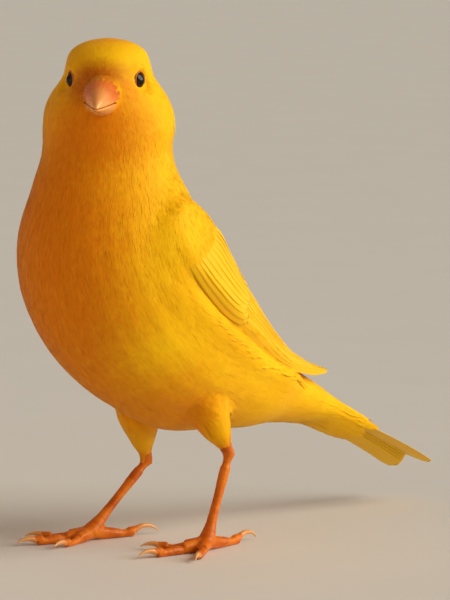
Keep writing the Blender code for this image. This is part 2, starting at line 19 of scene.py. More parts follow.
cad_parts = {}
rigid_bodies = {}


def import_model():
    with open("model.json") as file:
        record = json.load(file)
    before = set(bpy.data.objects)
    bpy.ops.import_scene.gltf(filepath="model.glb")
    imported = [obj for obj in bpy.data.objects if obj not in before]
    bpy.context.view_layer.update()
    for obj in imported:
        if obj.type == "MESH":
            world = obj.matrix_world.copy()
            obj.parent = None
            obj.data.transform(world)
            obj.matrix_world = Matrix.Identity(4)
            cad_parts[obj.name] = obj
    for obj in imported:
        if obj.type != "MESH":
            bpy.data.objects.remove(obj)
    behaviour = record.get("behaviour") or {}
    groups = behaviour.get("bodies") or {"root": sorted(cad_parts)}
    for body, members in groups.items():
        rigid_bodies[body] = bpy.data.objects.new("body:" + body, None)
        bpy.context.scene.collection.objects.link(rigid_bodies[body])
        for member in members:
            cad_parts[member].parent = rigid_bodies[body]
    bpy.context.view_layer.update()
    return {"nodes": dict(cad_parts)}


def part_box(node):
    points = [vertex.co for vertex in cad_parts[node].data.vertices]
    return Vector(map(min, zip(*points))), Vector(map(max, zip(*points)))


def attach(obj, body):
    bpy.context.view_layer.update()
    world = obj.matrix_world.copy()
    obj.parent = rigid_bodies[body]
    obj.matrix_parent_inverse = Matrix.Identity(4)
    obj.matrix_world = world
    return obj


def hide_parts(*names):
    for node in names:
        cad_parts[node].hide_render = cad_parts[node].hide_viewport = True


bl_info = {
    "name": "Canary",
    "version": (1, 0, 0),
    "blender": (4, 5, 0),
    "location": "3D View > Sidebar > Canary",
    "description": "Plumage, horn, skin and soft light for a life-size canary",
    "category": "Object",
}

for leftover in list(bpy.data.objects):
    bpy.data.objects.remove(leftover)
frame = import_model()

MM = 0.001
MERGE_DISTANCE = 1e-6
SEED = 7
# The most triangles that one piece may have, and how many places are held against the spine at a time.
PIECE_LIMIT = 200_000
BATCH = 4000
# Steps of a sequence of pairs that stay evenly spread, however many are taken.
EVEN_STEPS = (0.7548776662, 0.5698402910)

# The eyes' place in the part's drawing, from which the drawing's origin follows.
NECK_AXIS = Vector((0, -12.9, 0))
EYE_FORWARD_OF_NECK = 4.1
EYE_HEIGHT = 101.0
EYE_LEFT, EYE_RIGHT = (sum(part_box(node), Vector()) / 2 for node in ("eye_left", "eye_right"))
HEAD_LEFT = (EYE_LEFT - EYE_RIGHT).normalized()
HEAD_FORWARD = Vector((HEAD_LEFT.y, -HEAD_LEFT.x, 0))
EYES_MIDDLE = (EYE_LEFT + EYE_RIGHT) / 2
NECK_FOOT = EYES_MIDDLE - (HEAD_FORWARD * EYE_FORWARD_OF_NECK + Vector((0, 0, EYE_HEIGHT))) * MM
ORIGIN = NECK_FOOT - NECK_AXIS * MM

# The part's spine: centre, slope, reach to the side, breast and back, roll, turn and pinch of each section.
Section = namedtuple("Section", "y z lean width front back roll turn pinch")
SPINE = (
    Section(79.5, 8.8, 25, 6.6, 1.2, 1.1, 12, 0, 0),
    Section(69.5, 14.4, 26, 7.2, 2.2, 1.8, 12, 0, 0),
    Section(56.5, 20.8, 26, 7.2, 3.3, 2.6, 11, 0, 0),
    Section(44.5, 26.2, 27, 7.8, 4.9, 4.2, 8, 0, 0),
    Section(32.5, 30.8, 31, 10.2, 8.5, 6.8, 4, 0, 0),
    Section(20.0, 36.5, 38, 14.8, 14.4, 10.6, 0, 0, 0),
    Section(7.3, 43.6, 46, 18.5, 20.3, 15.2, 0, 0, 0),
    Section(-3.3, 52.3, 53, 20.4, 22.1, 18.0, 0, 0, 0),
    Section(-10.3, 62.5, 61, 20.8, 22.2, 18.7, 0, 0, 0),
    Section(-13.4, 72.0, 69, 19.0, 20.2, 17.6, 0, 0, 0),
    Section(-13.4, 80.0, 77, 15.8, 16.8, 14.9, 0, 0, 0),
    Section(-12.9, 86.0, 84, 14.0, 13.9, 13.5, 0, 8, 0),
    Section(-12.9, 90.6, 90, 14.2, 12.9, 14.0, 0, 22, 0.04),
    Section(-12.9, 94.8, 90, 13.5, 12.3, 13.6, 0, 36, 0.10),
    Section(-12.9, 98.2, 90, 11.8, 11.8, 13.2, 0, 42, 0.20),
    Section(-12.9, 101.2, 90, 9.6, 11.0, 12.3, 0, 42, 0.22),
    Section(-12.9, 104.2, 90, 8.8, 9.6, 10.9, 0, 42, 0.10),
    Section(-12.9, 106.8, 90, 7.8, 7.2, 8.6, 0, 42, 0.04),
    Section(-12.9, 108.7, 90, 4.6, 4.0, 4.8, 0, 42, 0),
    Section(-12.9, 109.5, 90, 0.0, 0.0, 0.0, 0, 42, 0),
)
CROWN = len(SPINE) - 1
# Where the samples of the spine start, and their number.
SPINE_FIRST = 1.5
SPINE_SAMPLES = 240
TAIL_ROOT = 3.0

# The bill's root in the head's own directions, and its length, reach to each side, up and down, and droops.
BILL_ROOT = (0, 8.4, 97.9)
BILL_LENGTH = 12.4
BILL_WIDTH = 4.9
BILL_TOP = 5.3
BILL_BOTTOM = 4.8
BILL_DROOP = 4
GAPE_DROP = 0.9
# How fast the bill narrows to its tip, seen from above, over its top and under it.
BILL_TAPER = 0.78
BILL_TOP_TAPER = 0.66
BILL_BOTTOM_TAPER = 0.85

# The eyes, the hollows that they lie in, and the rims of the lids.
EYE_RADIUS = 2.3
EYE_TURN = 24
CORNEA_RISE = 0.22
CORNEA_REACH = 1.0
PUPIL_EDGE = (0.95, 1.15)
SOCKET_DEPTH = 1.0
SOCKET_FLAT = 1.4
SOCKET_REACH = 2.8
LID_OPENING = 1.65
LID_MIDDLE = 0.26
LID_THICKNESS = 0.2
LID_FLATTENING = 0.8
LID_SLOPE = 0.55
LID_FOLDS = 26
LID_FOLD_DEPTH = 0.05
LID_LIFT = 0.12
LID_SCALES = 3

SKIN_GROWTH = 0.28
SKIN_VOXEL = 0.62
SKIN_SMOOTHING = 8
SKIN_LAST_SMOOTHING = 3
TAIL_STUB_START = 3.25
TAIL_STUB_END = 2.25
TAIL_STUB_SINK = 2.0
TAIL_STUB_SIDES = 20
TAIL_STUB_STEPS = 8

# Body feathers by their place on the spine: length, width, distance between roots, and depth of the coat.
Plume = namedtuple("Plume", "spine length width spacing depth")
PLUMES = (
    Plume(1.8, 6.0, 1.6, 0.9, 0.25),
    Plume(3.0, 8.5, 2.1, 1.0, 0.45),
    Plume(4.5, 8.5, 2.5, 1.1, 0.5),
    Plume(8.0, 7.0, 2.4, 1.05, 0.45),
    Plume(9.9, 5.6, 2.1, 0.95, 0.35),
    Plume(11.3, 4.4, 1.75, 0.8, 0.27),
    Plume(12.6, 3.6, 1.45, 0.68, 0.19),
    Plume(14.5, 2.8, 1.2, 0.58, 0.16),
    Plume(19.0, 2.6, 1.15, 0.56, 0.16),
)
THIGH_PLUME = Plume(0, 3.4, 1.0, 0.66, 0.35)
THIGH_TOP = 36
THIGH_STIFFNESS = 0.2
# How far above the heel, along the leg, a thigh is drawn in, and to what share of the solids' thickness.
THIGH_TAPER = ((-3.5, 0.2), (0.0, 0.32), (2.4, 0.52), (4.8, 0.72), (7.7, 0.84), (12.0, 1.0))
# Where the coat swells or sinks beyond the solids: the middle, the reach and the height in mm.
Swell = namedtuple("Swell", "centre reach height")
SWELLS = (
    Swell((0, 3, 25), (15, 19, 10), 1.9),
    Swell((0, 51, 17), (9, 19, 7), 1.7),
    Swell((12, -5, 83), (8, 9, 10), -1.0),
    Swell((-12, -5, 83), (8, 9, 10), -1.0),
)
COAT_SINK = 0.12
COVERTS_END = 2.1

# The way the feathers lie: towards the tail, on the head away from the bill, and beside the wings drawn up or
# down.
LIE_WANDER = 0.045
HEAD_LIE = (12.0, 14.6)
HEAD_LESS_TO_TAIL = 0.6
HEAD_AWAY_FROM_BILL = 1.1
FLANK_RISE = 0.4
SCAPULAR_DROP = 0.3
WING_LIE = (0.15, 0.4)
FLANK_LIE = ((-8, -3), (-0.5, 2))
SCAPULAR_LIE = ((-7, -3), (0, 3))

# The face, where the feathers are smaller, closer and flatter, the bare eye, and how much thinner the coat is
# round the bill.
EYE_CLEAR = 2.15
FACE_REACH = 8.5
FACE_FROM_BILL = 2.5
FACE_FROM_EYE = 0.5
FACE_SIZE = 0.5
FACE_SPACING = 0.76
FACE_DEPTH = 0.7
BILL_SKIN_REACH = 3
BILL_SKIN_DEPTH = 0.4

# How far along itself a feather has its rows of points, how wide it is there and how far it has risen.
Shape = namedtuple("Shape", "rows widths rise arch")
FEATHER = Shape(
    rows=(0.0, 0.22, 0.5, 0.78, 1.0),
    widths=(0.4, 0.86, 1.0, 0.74, 0.1),
    rise=(-0.05, 0.38, 0.62, 0.72, 0.7),
    arch=0.06,
)
WISP = Shape(rows=(0.0, 0.5, 1.0), widths=(0.5, 1.0, 0.1), rise=(0.4, 0.75, 0.78), arch=0.1)
FEATHER_CURVE = 0.04
SIZE_SPREAD = (0.85, 1.15)
TIP_LIFT = (-0.02, 0.03)
TONE_SPREAD = (2, 4)
PATCH = 0.003
PATCH_MARGIN = 0.03

# The little feathers over the bill's root: where they start, how far they reach along the bill, how they
# swing aside and how far each of their rows is off the bill.
RUFF_CLEAR = 0.1
RUFF_STEP = 0.01
RUFF_FURTHEST = 0.5
RUFF_SETBACK = 0.07
RUFF_STAGGER = 0.08
RUFF_LEAST = 0.04
RUFF_MORE_ON_TOP = 0.06
RUFF_MORE = 0.26
RUFF_CHANCE = (1.1, 3.5)
RUFF_SWING = 7
RUFF_RISES = (-0.2, -0.05, 0.02, 0.03, -0.03)
RUFF_FORWARD = 0.3

Zone = namedtuple("Zone", "name low high side")
ZONES = (
    Zone("tail_coverts", -1, 4.0, "both"),
    Zone("rump", 4.0, 7.0, "back"),
    Zone("vent", 4.0, 6.6, "front"),
    Zone("belly", 6.6, 8.3, "front"),
    Zone("mantle", 7.0, 10.4, "back"),
    Zone("breast", 8.3, 10.4, "front"),
    Zone("nape", 10.4, 12.7, "back"),
    Zone("throat", 10.4, 12.7, "front"),
    Zone("crown", 12.7, 20, "back"),
    Zone("face", 12.7, 20, "front"),
)

WingStation = namedtuple("WingStation", "spine low high clear thick")
WING = (
    WingStation(9.35, 13, 21, 0.3, 0.8),
    WingStation(9.0, 1, 34, 0.3, 1.9),
    WingStation(8.2, -1, 50, 0.3, 2.3),
    WingStation(7.2, 8, 60, 0.3, 2.2),
    WingStation(6.2, 14, 64, 0.3, 2.0),
    WingStation(5.1, 19, 66, 0.4, 1.8),
    WingStation(4.3, 27, 66, 0.9, 1.6),
    WingStation(3.7, 36, 66, 1.9, 1.4),
    WingStation(3.25, 50, 62, 3.4, 1.0),
)
WING_STEPS = 161
# Where the coat leaves room for the wing's own feathers: from and to a share of its length, along a wavy
# line, and between its edges in mm.
WING_BARE_FROM = 0.33
WING_BARE_TO = 0.72
WING_BARE_WAVE = 0.03
WING_BARE_WAVINESS = 1.3
WING_BARE_LOW = -0.3
WING_BARE_HIGH = 0.6
WING_GROUND = 0.62
# How the body rises under the wing, as shares of its length and mm from its edges.
WING_LEAST_SHARE = 0.15
WING_FREE = (0.62, 0.8)
WING_SOFT = 5.5
WING_SOFT_LOSS = 4.3
WING_SOFT_SHARES = (0.15, 0.45)
WING_LOW_RISE = 2.6
WING_HIGH_RISE = 3.5
WING_START = (-0.22, 0.14)
WING_FADE = (0.62, 0.85)
FLANK_SWELL = 1.15
FLANK_FROM = (-9, -2.5)
FLANK_TO = (-1.5, 0.8)
WING_GROOVE = 0.9
GROOVE_PLACE = -0.6
GROOVE_WIDTH = 1.1
FLANK_START = (0.12, 0.4)
FLANK_END = (0.7, 0.9)
# The body's points by which places are read along and round it, in steps of the spine and of the angle.
MAP_SPINE = (2.4, 11.0, 0.1)
MAP_ANGLE = (-70, 92, 2.5)
MAP_NEIGHBOURS = 4
MAP_NEAR = 0.05
MAP_BEYOND_WING = 2.8

# A tier of wing feathers: count, roots and tips of the first and last as shares of the wing's length and
# height, extra reach of the longest, its skew, half a feather's width, lift in mm, width of the tip and the
# quill's place.
Tier = namedtuple("Tier", "count root_first root_last tip_first tip_last reach skew half lift point quill")
# In order: primaries, secondaries, tertials, and the coverts over the primaries and over the secondaries.
WING_TIERS = (
    Tier(
        9, (0.26, 0.03), (0.30, 0.46), (0.93, 0.10), (0.84, 0.66),
        reach=0.09, skew=0.6, half=2.1, lift=0.06, point=0.6, quill=-0.45,
    ),
    Tier(
        6, (0.31, 0.34), (0.32, 0.70), (0.76, 0.40), (0.67, 0.70),
        reach=0.01, skew=1, half=2.8, lift=0.22, point=0.5, quill=-0.3,
    ),
    Tier(
        3, (0.31, 0.70), (0.29, 0.86), (0.64, 0.66), (0.46, 0.84),
        reach=0, skew=1, half=3.2, lift=0.45, point=0.45, quill=-0.1,
    ),
    Tier(
        4, (0.24, 0.07), (0.24, 0.24), (0.50, 0.09), (0.45, 0.24),
        reach=0.01, skew=1, half=1.9, lift=0.42, point=0.5, quill=-0.2,
    ),
    Tier(
        8, (0.24, 0.24), (0.24, 0.84), (0.47, 0.27), (0.45, 0.86),
        reach=0.02, skew=1, half=2.3, lift=0.62, point=0.5, quill=-0.15,
    ),
)
TIP_WANDER = 0.006

# The vanes of wing and tail: their grid, thickness and outline, the ridge of the quill, and how they lie over
# one another.
VANE_ROWS = 15
VANE_COLUMNS = 9
VANE_THICK = 0.16
VANE_CLEAR = 0.15
VANE_TILT = 0.1
VANE_STACK = 0.315
VANE_SINK_TO = 0.3
VANE_CROWDING = 1.25
VANE_EDGE_CROWDING = 0.9
VANE_EDGE_THICKNESS = 0.25
VANE_ROOT_WIDTH = 0.5
VANE_ROOT_LENGTH = 0.45
VANE_TIP_FROM = 0.62
QUILL_RISE = 0.12
QUILL_WIDTH = 0.16
# How much thinner a vane and its quill are at the tip, as shares.
VANE_THINNING = 0.5
QUILL_THINNING = 0.6
# The height of a vane's ripples, and how fast they go by along it, across it and from one vane to the next.
RIPPLE = 0.03
RIPPLE_ALONG = 9
RIPPLE_ACROSS = 3
RIPPLE_APART = 40
VANE_SEARCH = 3.5
VANE_CLIMB = 0.32
SOFT_ROUNDING = 0.12

# Half the tail's feathers, in mm and as places on the spine.
TAIL_FEATHERS = 6
TAIL_QUILL = 0.35
TAIL_ROOT_SPREAD = 0.55
TAIL_TIP_SPREAD = 0.86
TAIL_HALF_WIDTH = 2.4
TAIL_POINT = 0.8
TAIL_STEP_DOWN = 0.22
TAIL_EDGE_DROP = 0.15
TAIL_LEFT_OVER_RIGHT = 0.05
TAIL_FORK = 0.32
TAIL_ARCH_RADIUS = 70
# The surface over the folded tail: its rings, how far it lies under the solids, and how it thins towards the
# end.
ENVELOPE_START = 3.3
ENVELOPE_STEP = 0.1
ENVELOPE_STEPS = 30
ENVELOPE_SIDES = 32
ENVELOPE_SINK = 0.35
TAIL_THINNING = 0.65
THINNING_FROM = 3.6
THINNING_LENGTH = 1.6

# Each leg's knee, heel and knuckle, and the heading of its toes, in degrees from straight ahead, to the left.
Leg = namedtuple("Leg", "knee heel knuckle toes")
LEGS = {
    "left": Leg((9.8, 3.6, 36.0), (11.6, 10.9, 20.0), (12.1, 3.9, 2.0), (186, -45, -8, 38)),
    "right": Leg((-8.5, 0.5, 35.0), (-12.4, 8.8, 15.8), (-13.5, -6.5, 2.0), (164, 15, -16, -43)),
}
TOE_LENGTHS = (10.2, 9.5, 12.6, 9.8)
LEG_VOXEL = 0.2
LEG_GROWTH = 0.16
LEG_SINK = 0.17
LEG_SMOOTHING = 10
SHANK_SCUTE = 1.9
SHANK_SLIM = 0.12
SHANK_SLIM_HEIGHTS = (3.0, 6.0)
TOE_SCUTE = 1.05
TOE_HEIGHT = 1.2
TOE_MAP_START = 40
# Limbs that rise more than this share of their length are mapped from another side.
STEEP = 0.8
SCUTE_RISE = 0.04
SOLE_HEIGHT = 0.4
# Scutes rise on what faces up, and on the shank farther round.
SCUTES_FACE_UP = (-0.2, 0.4)
SHANK_SCUTES_ROUND = 0.4
HEEL_NARROWING = 0.22
HEEL_START = (-0.3, 1.6)
HEEL_REACH = 6.5
# Cones that fill out a limb's joints: where they start and end in mm along the limb's way, and their radius
# at each end.
Cone = namedtuple("Cone", "start end start_radius end_radius")
CONE_UNDER_HEEL = Cone(-6, 0.6, 1.1, 1.6)
CONE_OVER_HEEL = Cone(0, 5, 1.6, 1.85)
CONE_OVER_KNUCKLE = Cone(-0.4, 6.5, 2.1, 0.95)
CONE_OVER_CLAW = Cone(-1.6, 1.3, 1.15, 0.62)
TOE_ROOT_HEIGHT = 1.75
TOE_FALL = 0.45
TOE_RADII = (1.75, 1.15)
# Where along a claw the middles are found that give its way.
CLAW_ROOT = ((-0.1, 0.2), (0.25, 0.5))

BILL_VOXEL = 0.17
BILL_GROWTH = 0.07
BILL_SMOOTHING = 12
CLAW_VOXEL = 0.13
CLAW_SMOOTHING = 4

CAMERA_AZIMUTH = 47
CAMERA_ELEVATION = 7.5
CAMERA_DISTANCE = 800
PIXELS_PER_MM = 4.65
PICTURE = (450, 600)
DRAWING_PIXEL = (155, 545)
SENSOR = 36

# Lights by their way to the camera's right, towards the camera and up, their distance in metres, their size
# in metres, or for the key in degrees, and their colour.
Lamp = namedtuple("Lamp", "way distance size colour")
KEY = Lamp((0.88, 0.16, 0.4), 1.0, 50, (1.0, 0.95, 0.82))
FILL = Lamp((-0.9, 0.6, 0.35), 0.7, 0.6, (1.0, 0.45, 0.15))
GLINT = Lamp((1.0, 0.3, 0.2), 0.7, 0.05, (1.0, 0.95, 0.9))
WORLD_COLOUR = (1.0, 0.88, 0.74, 1)
# Each step of the floor's rim: how far it rises as a share of a tenth of the floor, and how much wider it is.
RIM_RISES = (0.02, 0.08, 0.2, 0.5, 1.0)
RIM_WIDENING = 1.12


def placed(point):
    """A place in the part's drawing, in the row's frame."""
    return ORIGIN + Vector(point) * MM


def drawn(points):
    """Places in the row's frame, in the part's drawing."""
    return (np.asarray(points, float) - np.array(ORIGIN)) / MM


def head_point(side, forward, height):
    """A place given in the head's own directions, in the part's drawing."""
    return NECK_AXIS + HEAD_LEFT * side + HEAD_FORWARD * forward + Vector((0, 0, height))


def unit(vectors):
    """Vectors in rows, each made one long."""
    return vectors / np.maximum(np.linalg.norm(vectors, axis=-1, keepdims=True), 1e-9)


def ramp(value, low, high):
    """0 below low, 1 above high, and smooth between."""
    share = np.clip((value - low) / (high - low), 0, 1)
    return share * share * (3 - 2 * share)


def band(value, rise, fall):
    """1 between two ramps, the first rising and the second falling."""
    return ramp(value, *rise) * (1 - ramp(value, *fall))


def smooth_between(rows, t):
    """Each column of the rows, read at place t along a Catmull-Rom curve through them."""
    last = len(rows) - 1
    i = min(max(math.floor(t), 0), last - 1)
    f = t - i
    near = [rows[min(max(k, 0), last)] for k in (i - 1, i, i + 1, i + 2)]
    return [
        b + 0.5 * f * (c - a + f * (2 * a - 5 * b + 4 * c - d + f * (3 * (b - c) + d - a)))
        for a, b, c, d in zip(*near)
    ]


def body_point(spine, angle, lift=0.0):
    """A point of the solids' plumage. Angle 0 is the bird's left and 90 is its back."""
    s = Section(*smooth_between(SPINE, spine))
    a, lean = math.radians(angle), math.radians(s.lean)
    ahead = max(0.0, -math.sin(a))
    across = (s.width * (1 - s.pinch * ahead) + lift) * math.cos(a)
    depth = ((s.back if math.sin(a) > 0 else s.front) + lift) * math.sin(a)
    across, depth = Matrix.Rotation(math.radians(s.roll), 2) @ Vector((across, depth))
    point = Vector((across, s.y + depth * math.sin(lean), s.z + depth * math.cos(lean)))
    turn = Matrix.Rotation(math.radians(s.turn), 3, "Z")
    return NECK_AXIS + turn @ (point - NECK_AXIS)


def body_ring(spine, sides, lift):
    """Points all round the body at a place on the spine."""
    return [body_point(spine, 360 * k / sides, lift) for k in range(sides)]


def spine_samples():
    """Places along the spine with their centres, the way to the tail and the way to the back."""
    places = np.linspace(SPINE_FIRST, CROWN, SPINE_SAMPLES)
    rows = [Section(*smooth_between(SPINE, place)) for place in places]
    centres = np.array([(0, row.y, row.z) for row in rows])
    to_tail = unit(-np.gradient(centres, axis=0))
    leans = np.radians([row.lean for row in rows])
    to_back = np.stack([np.zeros_like(leans), np.sin(leans), np.cos(leans)], 1)
    return places, centres, to_tail, to_back


SPINE_PLACES, SPINE_CENTRES, SPINE_TO_TAIL, SPINE_TO_BACK = spine_samples()


def nearest_spine(points):
    """Index of the spine sample nearest to each point, seen from the side."""
    found = np.empty(len(points), int)
    for start in range(0, len(points), BATCH):
        part = points[start : start + BATCH, None, 1:] - SPINE_CENTRES[None, :, 1:]
        found[start : start + BATCH] = (part**2).sum(-1).argmin(1)
    return found


# Making and finishing meshes


def deselect():
    if bpy.context.object and bpy.context.object.mode != "OBJECT":
        bpy.ops.object.mode_set(mode="OBJECT")
    bpy.ops.object.select_all(action="DESELECT")


def make_active(obj):
    deselect()
    obj.select_set(True)
    bpy.context.view_layer.objects.active = obj


def new_piece(name, mesh):
    obj = bpy.data.objects.new(name, mesh)
    bpy.context.scene.collection.objects.link(obj)
    return obj


def apply_modifier(obj, kind, **settings):
    """Adds a modifier with these settings and applies it."""
    make_active(obj)
    modifier = obj.modifiers.new(kind.lower(), kind)
    for key, value in settings.items():
        setattr(modifier, key, value)
    bpy.ops.object.modifier_apply(modifier=modifier.name)


def join(first, others):
    """Joins meshes into the first."""
    make_active(first)
    for other in others:
        other.select_set(True)
    bpy.ops.object.join()


def merged_copy(name, nodes, grow=0.0):
    """One mesh joined from copies of CAD nodes, with their loose triangles merged, grown by some mm."""
    copies = []
    for node in nodes:
        copy = new_piece(f"{name}_{node}", frame["nodes"][node].data.copy())
        copy.data.materials.clear()
        bm = bmesh.new()
        bm.from_mesh(copy.data)
        bmesh.ops.remove_doubles(bm, verts=bm.verts, dist=MERGE_DISTANCE)
        bm.normal_update()
        if grow:
            for vertex in bm.verts:
                vertex.co += vertex.normal * grow * MM
        bm.to_mesh(copy.data)
        bm.free()
        copies.append(copy)
    joined, *others = copies
    if others:
        join(joined, others)
    joined.name = name
    joined.data.name = name
    return joined


def remesh(obj, voxel, smoothing):
    """Turns the mesh into one even, smooth closed surface."""
    apply_modifier(obj, "REMESH", mode="VOXEL", voxel_size=voxel * MM)
    if smoothing:
        apply_modifier(obj, "SMOOTH", factor=0.5, iterations=smoothing)
    obj.data.shade_smooth()


def points_of(mesh):
    points = np.empty(len(mesh.vertices) * 3, np.float32)
    mesh.vertices.foreach_get("co", points)
    return drawn(points.reshape(-1, 3))


def normals_of(mesh):
    normals = np.empty(len(mesh.vertices) * 3, np.float32)
    mesh.vertices.foreach_get("normal", normals)
    return normals.reshape(-1, 3).astype(float)


def set_points(mesh, points):
    mesh.vertices.foreach_set("co", (points * MM + np.array(ORIGIN)).astype(np.float32).ravel())
    mesh.update()


def triangles_of(mesh):
    mesh.calc_loop_triangles()
    corners = np.empty(len(mesh.loop_triangles) * 3, np.int32)
    mesh.loop_triangles.foreach_get("vertices", corners)
    return corners.reshape(-1, 3)


def mesh_from(name, points, faces):
    """A mesh from points in the drawing and faces."""
    mesh = bpy.data.meshes.new(name)
    mesh.from_pydata((points * MM + np.array(ORIGIN)).tolist(), [], faces)
    mesh.update()
    return mesh


def face_outwards(mesh):
    """Turns all faces outwards."""
    bm = bmesh.new()
    bm.from_mesh(mesh)
    bmesh.ops.recalc_face_normals(bm, faces=bm.faces)
    bm.to_mesh(mesh)
    bm.free()


def set_uv(mesh, name, values):
    """A UV map from one pair of values for each vertex."""
    corners = np.empty(len(mesh.loops), np.int32)
    mesh.loops.foreach_get("vertex_index", corners)
    layer = mesh.uv_layers.new(name=name)
    layer.data.foreach_set("uv", values[corners].astype(np.float32).ravel())


def set_value(mesh, name, values):
    attribute = mesh.attributes.new(name, "FLOAT", "POINT")
    attribute.data.foreach_set("value", values.astype(np.float32))


def finish_piece(obj, material, slot, *nodes):
    """Gives a piece its material and body, and lets it stand for CAD nodes."""
    obj.data.materials.clear()
    obj.data.materials.append(material)
    triangles = sum(len(face.vertices) - 2 for face in obj.data.polygons)
    if triangles > PIECE_LIMIT:
        raise RuntimeError(f"{obj.name} has {triangles} triangles")
    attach(obj, "root")
    if nodes:
        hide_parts(*nodes)


class Surface:
    """A triangulated surface in the drawing, with the nearest point and smooth normal for any place."""

    def __init__(self, points, triangles, normals):
        self.points, self.triangles, self.normals = points, triangles, normals
        self.tree = BVHTree.FromPolygons(points.tolist(), triangles.tolist())

    def nearest(self, places):
        found = [self.tree.find_nearest(place) for place in places.tolist()]
        here = np.array([hit[0] for hit in found])
        index = np.array([hit[2] for hit in found])
        return here, self.normal_at(here, index)

    def normal_at(self, here, index):
        corners = self.points[self.triangles[index]]
        weights = []
        for k in range(3):
            b, c = corners[:, (k + 1) % 3] - here, corners[:, (k + 2) % 3] - here
            weights.append(np.linalg.norm(np.cross(b, c), axis=1))
        weights = np.stack(weights, 1)[:, :, None]
        return unit((self.normals[self.triangles[index]] * weights).sum(1))

    def scatter(self, count, random):
        """Random places spread evenly over the surface."""
        corners = self.points[self.triangles]
        areas = np.linalg.norm(np.cross(corners[:, 1] - corners[:, 0], corners[:, 2] - corners[:, 0]), axis=1)
        index = random.choice(len(areas), count, p=areas / areas.sum())
        a, b = random.random((2, count, 1))
        flip = (a + b) > 1
        a, b = np.where(flip, 1 - a, a), np.where(flip, 1 - b, b)
        chosen = corners[index]
        here = chosen[:, 0] + a * (chosen[:, 1] - chosen[:, 0]) + b * (chosen[:, 2] - chosen[:, 0])
        return here, self.normal_at(here, index)


def surface_of(mesh):
    return Surface(points_of(mesh), triangles_of(mesh), normals_of(mesh))


def solids_surface(*nodes):
    """CAD nodes as one surface, with their loose triangles merged."""
    copy = merged_copy("solids", nodes)
    surface = surface_of(copy.data)
    bpy.data.objects.remove(copy)
    return surface


def spaced_out(points, spacing):
    """Indices of points, taken in turn, that keep their spacing from all those taken before."""
    cell = float(spacing.max())
    cells, kept = {}, []
    keys = np.floor(points / cell).astype(int).tolist()
    places, reach = points.tolist(), (spacing**2).tolist()
    around = [(i, j, k) for i in (-1, 0, 1) for j in (-1, 0, 1) for k in (-1, 0, 1)]
    for index, ((x, y, z), (i, j, k)) in enumerate(zip(places, keys)):
        limit = reach[index]
        free = True
        for di, dj, dk in around:
            for a, b, c in cells.get((i + di, j + dj, k + dk), ()):
                if (a - x) ** 2 + (b - y) ** 2 + (c - z) ** 2 < limit:
                    free = False
                    break
            if not free:
                break
        if free:
            cells.setdefault((i, j, k), []).append((x, y, z))
            kept.append(index)
    return np.array(kept)


# Materials


class Nodes:
    """Adds shader nodes to a tree and links them by name."""

    def __init__(self, tree):
        self.tree = tree
        self.count = 0

    def add(self, kind, links=None, **settings):
        node = self.tree.nodes.new("ShaderNode" + kind)
        node.location = (200 * (self.count % 8) - 1800, -260 * (self.count // 8))
        self.count += 1
        for key, value in settings.items():
            setattr(node, key, value)
        for socket, value in (links or {}).items():
            self.feed(node.inputs[socket], value)
        return node

    def feed(self, socket, value):
        if isinstance(value, bpy.types.NodeSocket):
            self.tree.links.new(value, socket)
        else:
            socket.default_value = value

    def math(self, operation, first, second=0.0, third=0.0):
        return self.add("Math", {0: first, 1: second, 2: third}, operation=operation).outputs[0]

    def spread(self, value, low, high, out_low=0.0, out_high=1.0):
        links = {"Value": value, "From Min": low, "From Max": high, "To Min": out_low, "To Max": out_high}
        return self.add("MapRange", links, interpolation_type="SMOOTHSTEP").outputs["Result"]

    def mix(self, share, first, second, blend="MIX"):
        links = {"Factor": share, 6: first, 7: second}
        return self.add("Mix", links, data_type="RGBA", blend_type=blend).outputs[2]

    def noise(self, vector, scale, detail=3.0, roughness=0.5):
        links = {"Vector": vector, "Scale": scale, "Detail": detail, "Roughness": roughness}
        return self.add("TexNoise", links).outputs["Fac"]

    def stretched_noise(self, vector, scale, detail, roughness=0.5):
        """Noise whose scale differs along each way."""
        stretched = self.add("Mapping", {"Vector": vector, "Scale": scale}).outputs[0]
        return self.noise(stretched, 1.0, detail, roughness)

    def group(self, name, **links):
        node = self.add("Group", node_tree=bpy.data.node_groups[name])
        for socket, value in links.items():
            self.feed(node.inputs[socket], value)
        return node

    def dimmed(self, colour, shade):
        """A colour multiplied by a grey."""
        grey = self.add("CombineColor", {0: shade, 1: shade, 2: shade}).outputs[0]
        return self.mix(1.0, colour, grey, "MULTIPLY")

    def finish(self, shader, gloss, colour, roughness):
        """Sets a shader's constants and feeds it its colour and roughness."""
        for socket, value in gloss.items():
            shader.inputs[socket].default_value = value
        self.feed(shader.inputs["Base Color"], colour)
        self.feed(shader.inputs["Roughness"], roughness)

    def bump(self, shader, height, strength, depth):
        """Makes a shader's surface uneven, by a depth in mm."""
        links = {"Height": height, "Strength": strength, "Distance": depth * MM}
        self.feed(shader.inputs["Normal"], self.add("Bump", links).outputs[0])

    def object_coordinates(self):
        return self.add("TexCoord").outputs["Object"]

    def attribute(self, name):
        return self.add("Attribute", attribute_name=name).outputs["Fac"]


def new_group(name, inputs, outputs):
    """A shader node group with named sockets: its node maker, its inputs and its output node."""
    tree = bpy.data.node_groups.new(name, "ShaderNodeTree")
    for socket, (kind, default) in inputs.items():
        made = tree.interface.new_socket(socket, in_out="INPUT", socket_type="NodeSocket" + kind)
        if default is not None:
            made.default_value = default
    for socket, kind in outputs.items():
        tree.interface.new_socket(socket, in_out="OUTPUT", socket_type="NodeSocket" + kind)
    entry = tree.nodes.new("NodeGroupInput")
    exit_node = tree.nodes.new("NodeGroupOutput")
    return Nodes(tree), entry.outputs, exit_node


def new_material(name):
    """The node maker and the shader of a new material."""
    material = bpy.data.materials.new(name)
    material.use_nodes = True
    return Nodes(material.node_tree), material.node_tree.nodes["Principled BSDF"]


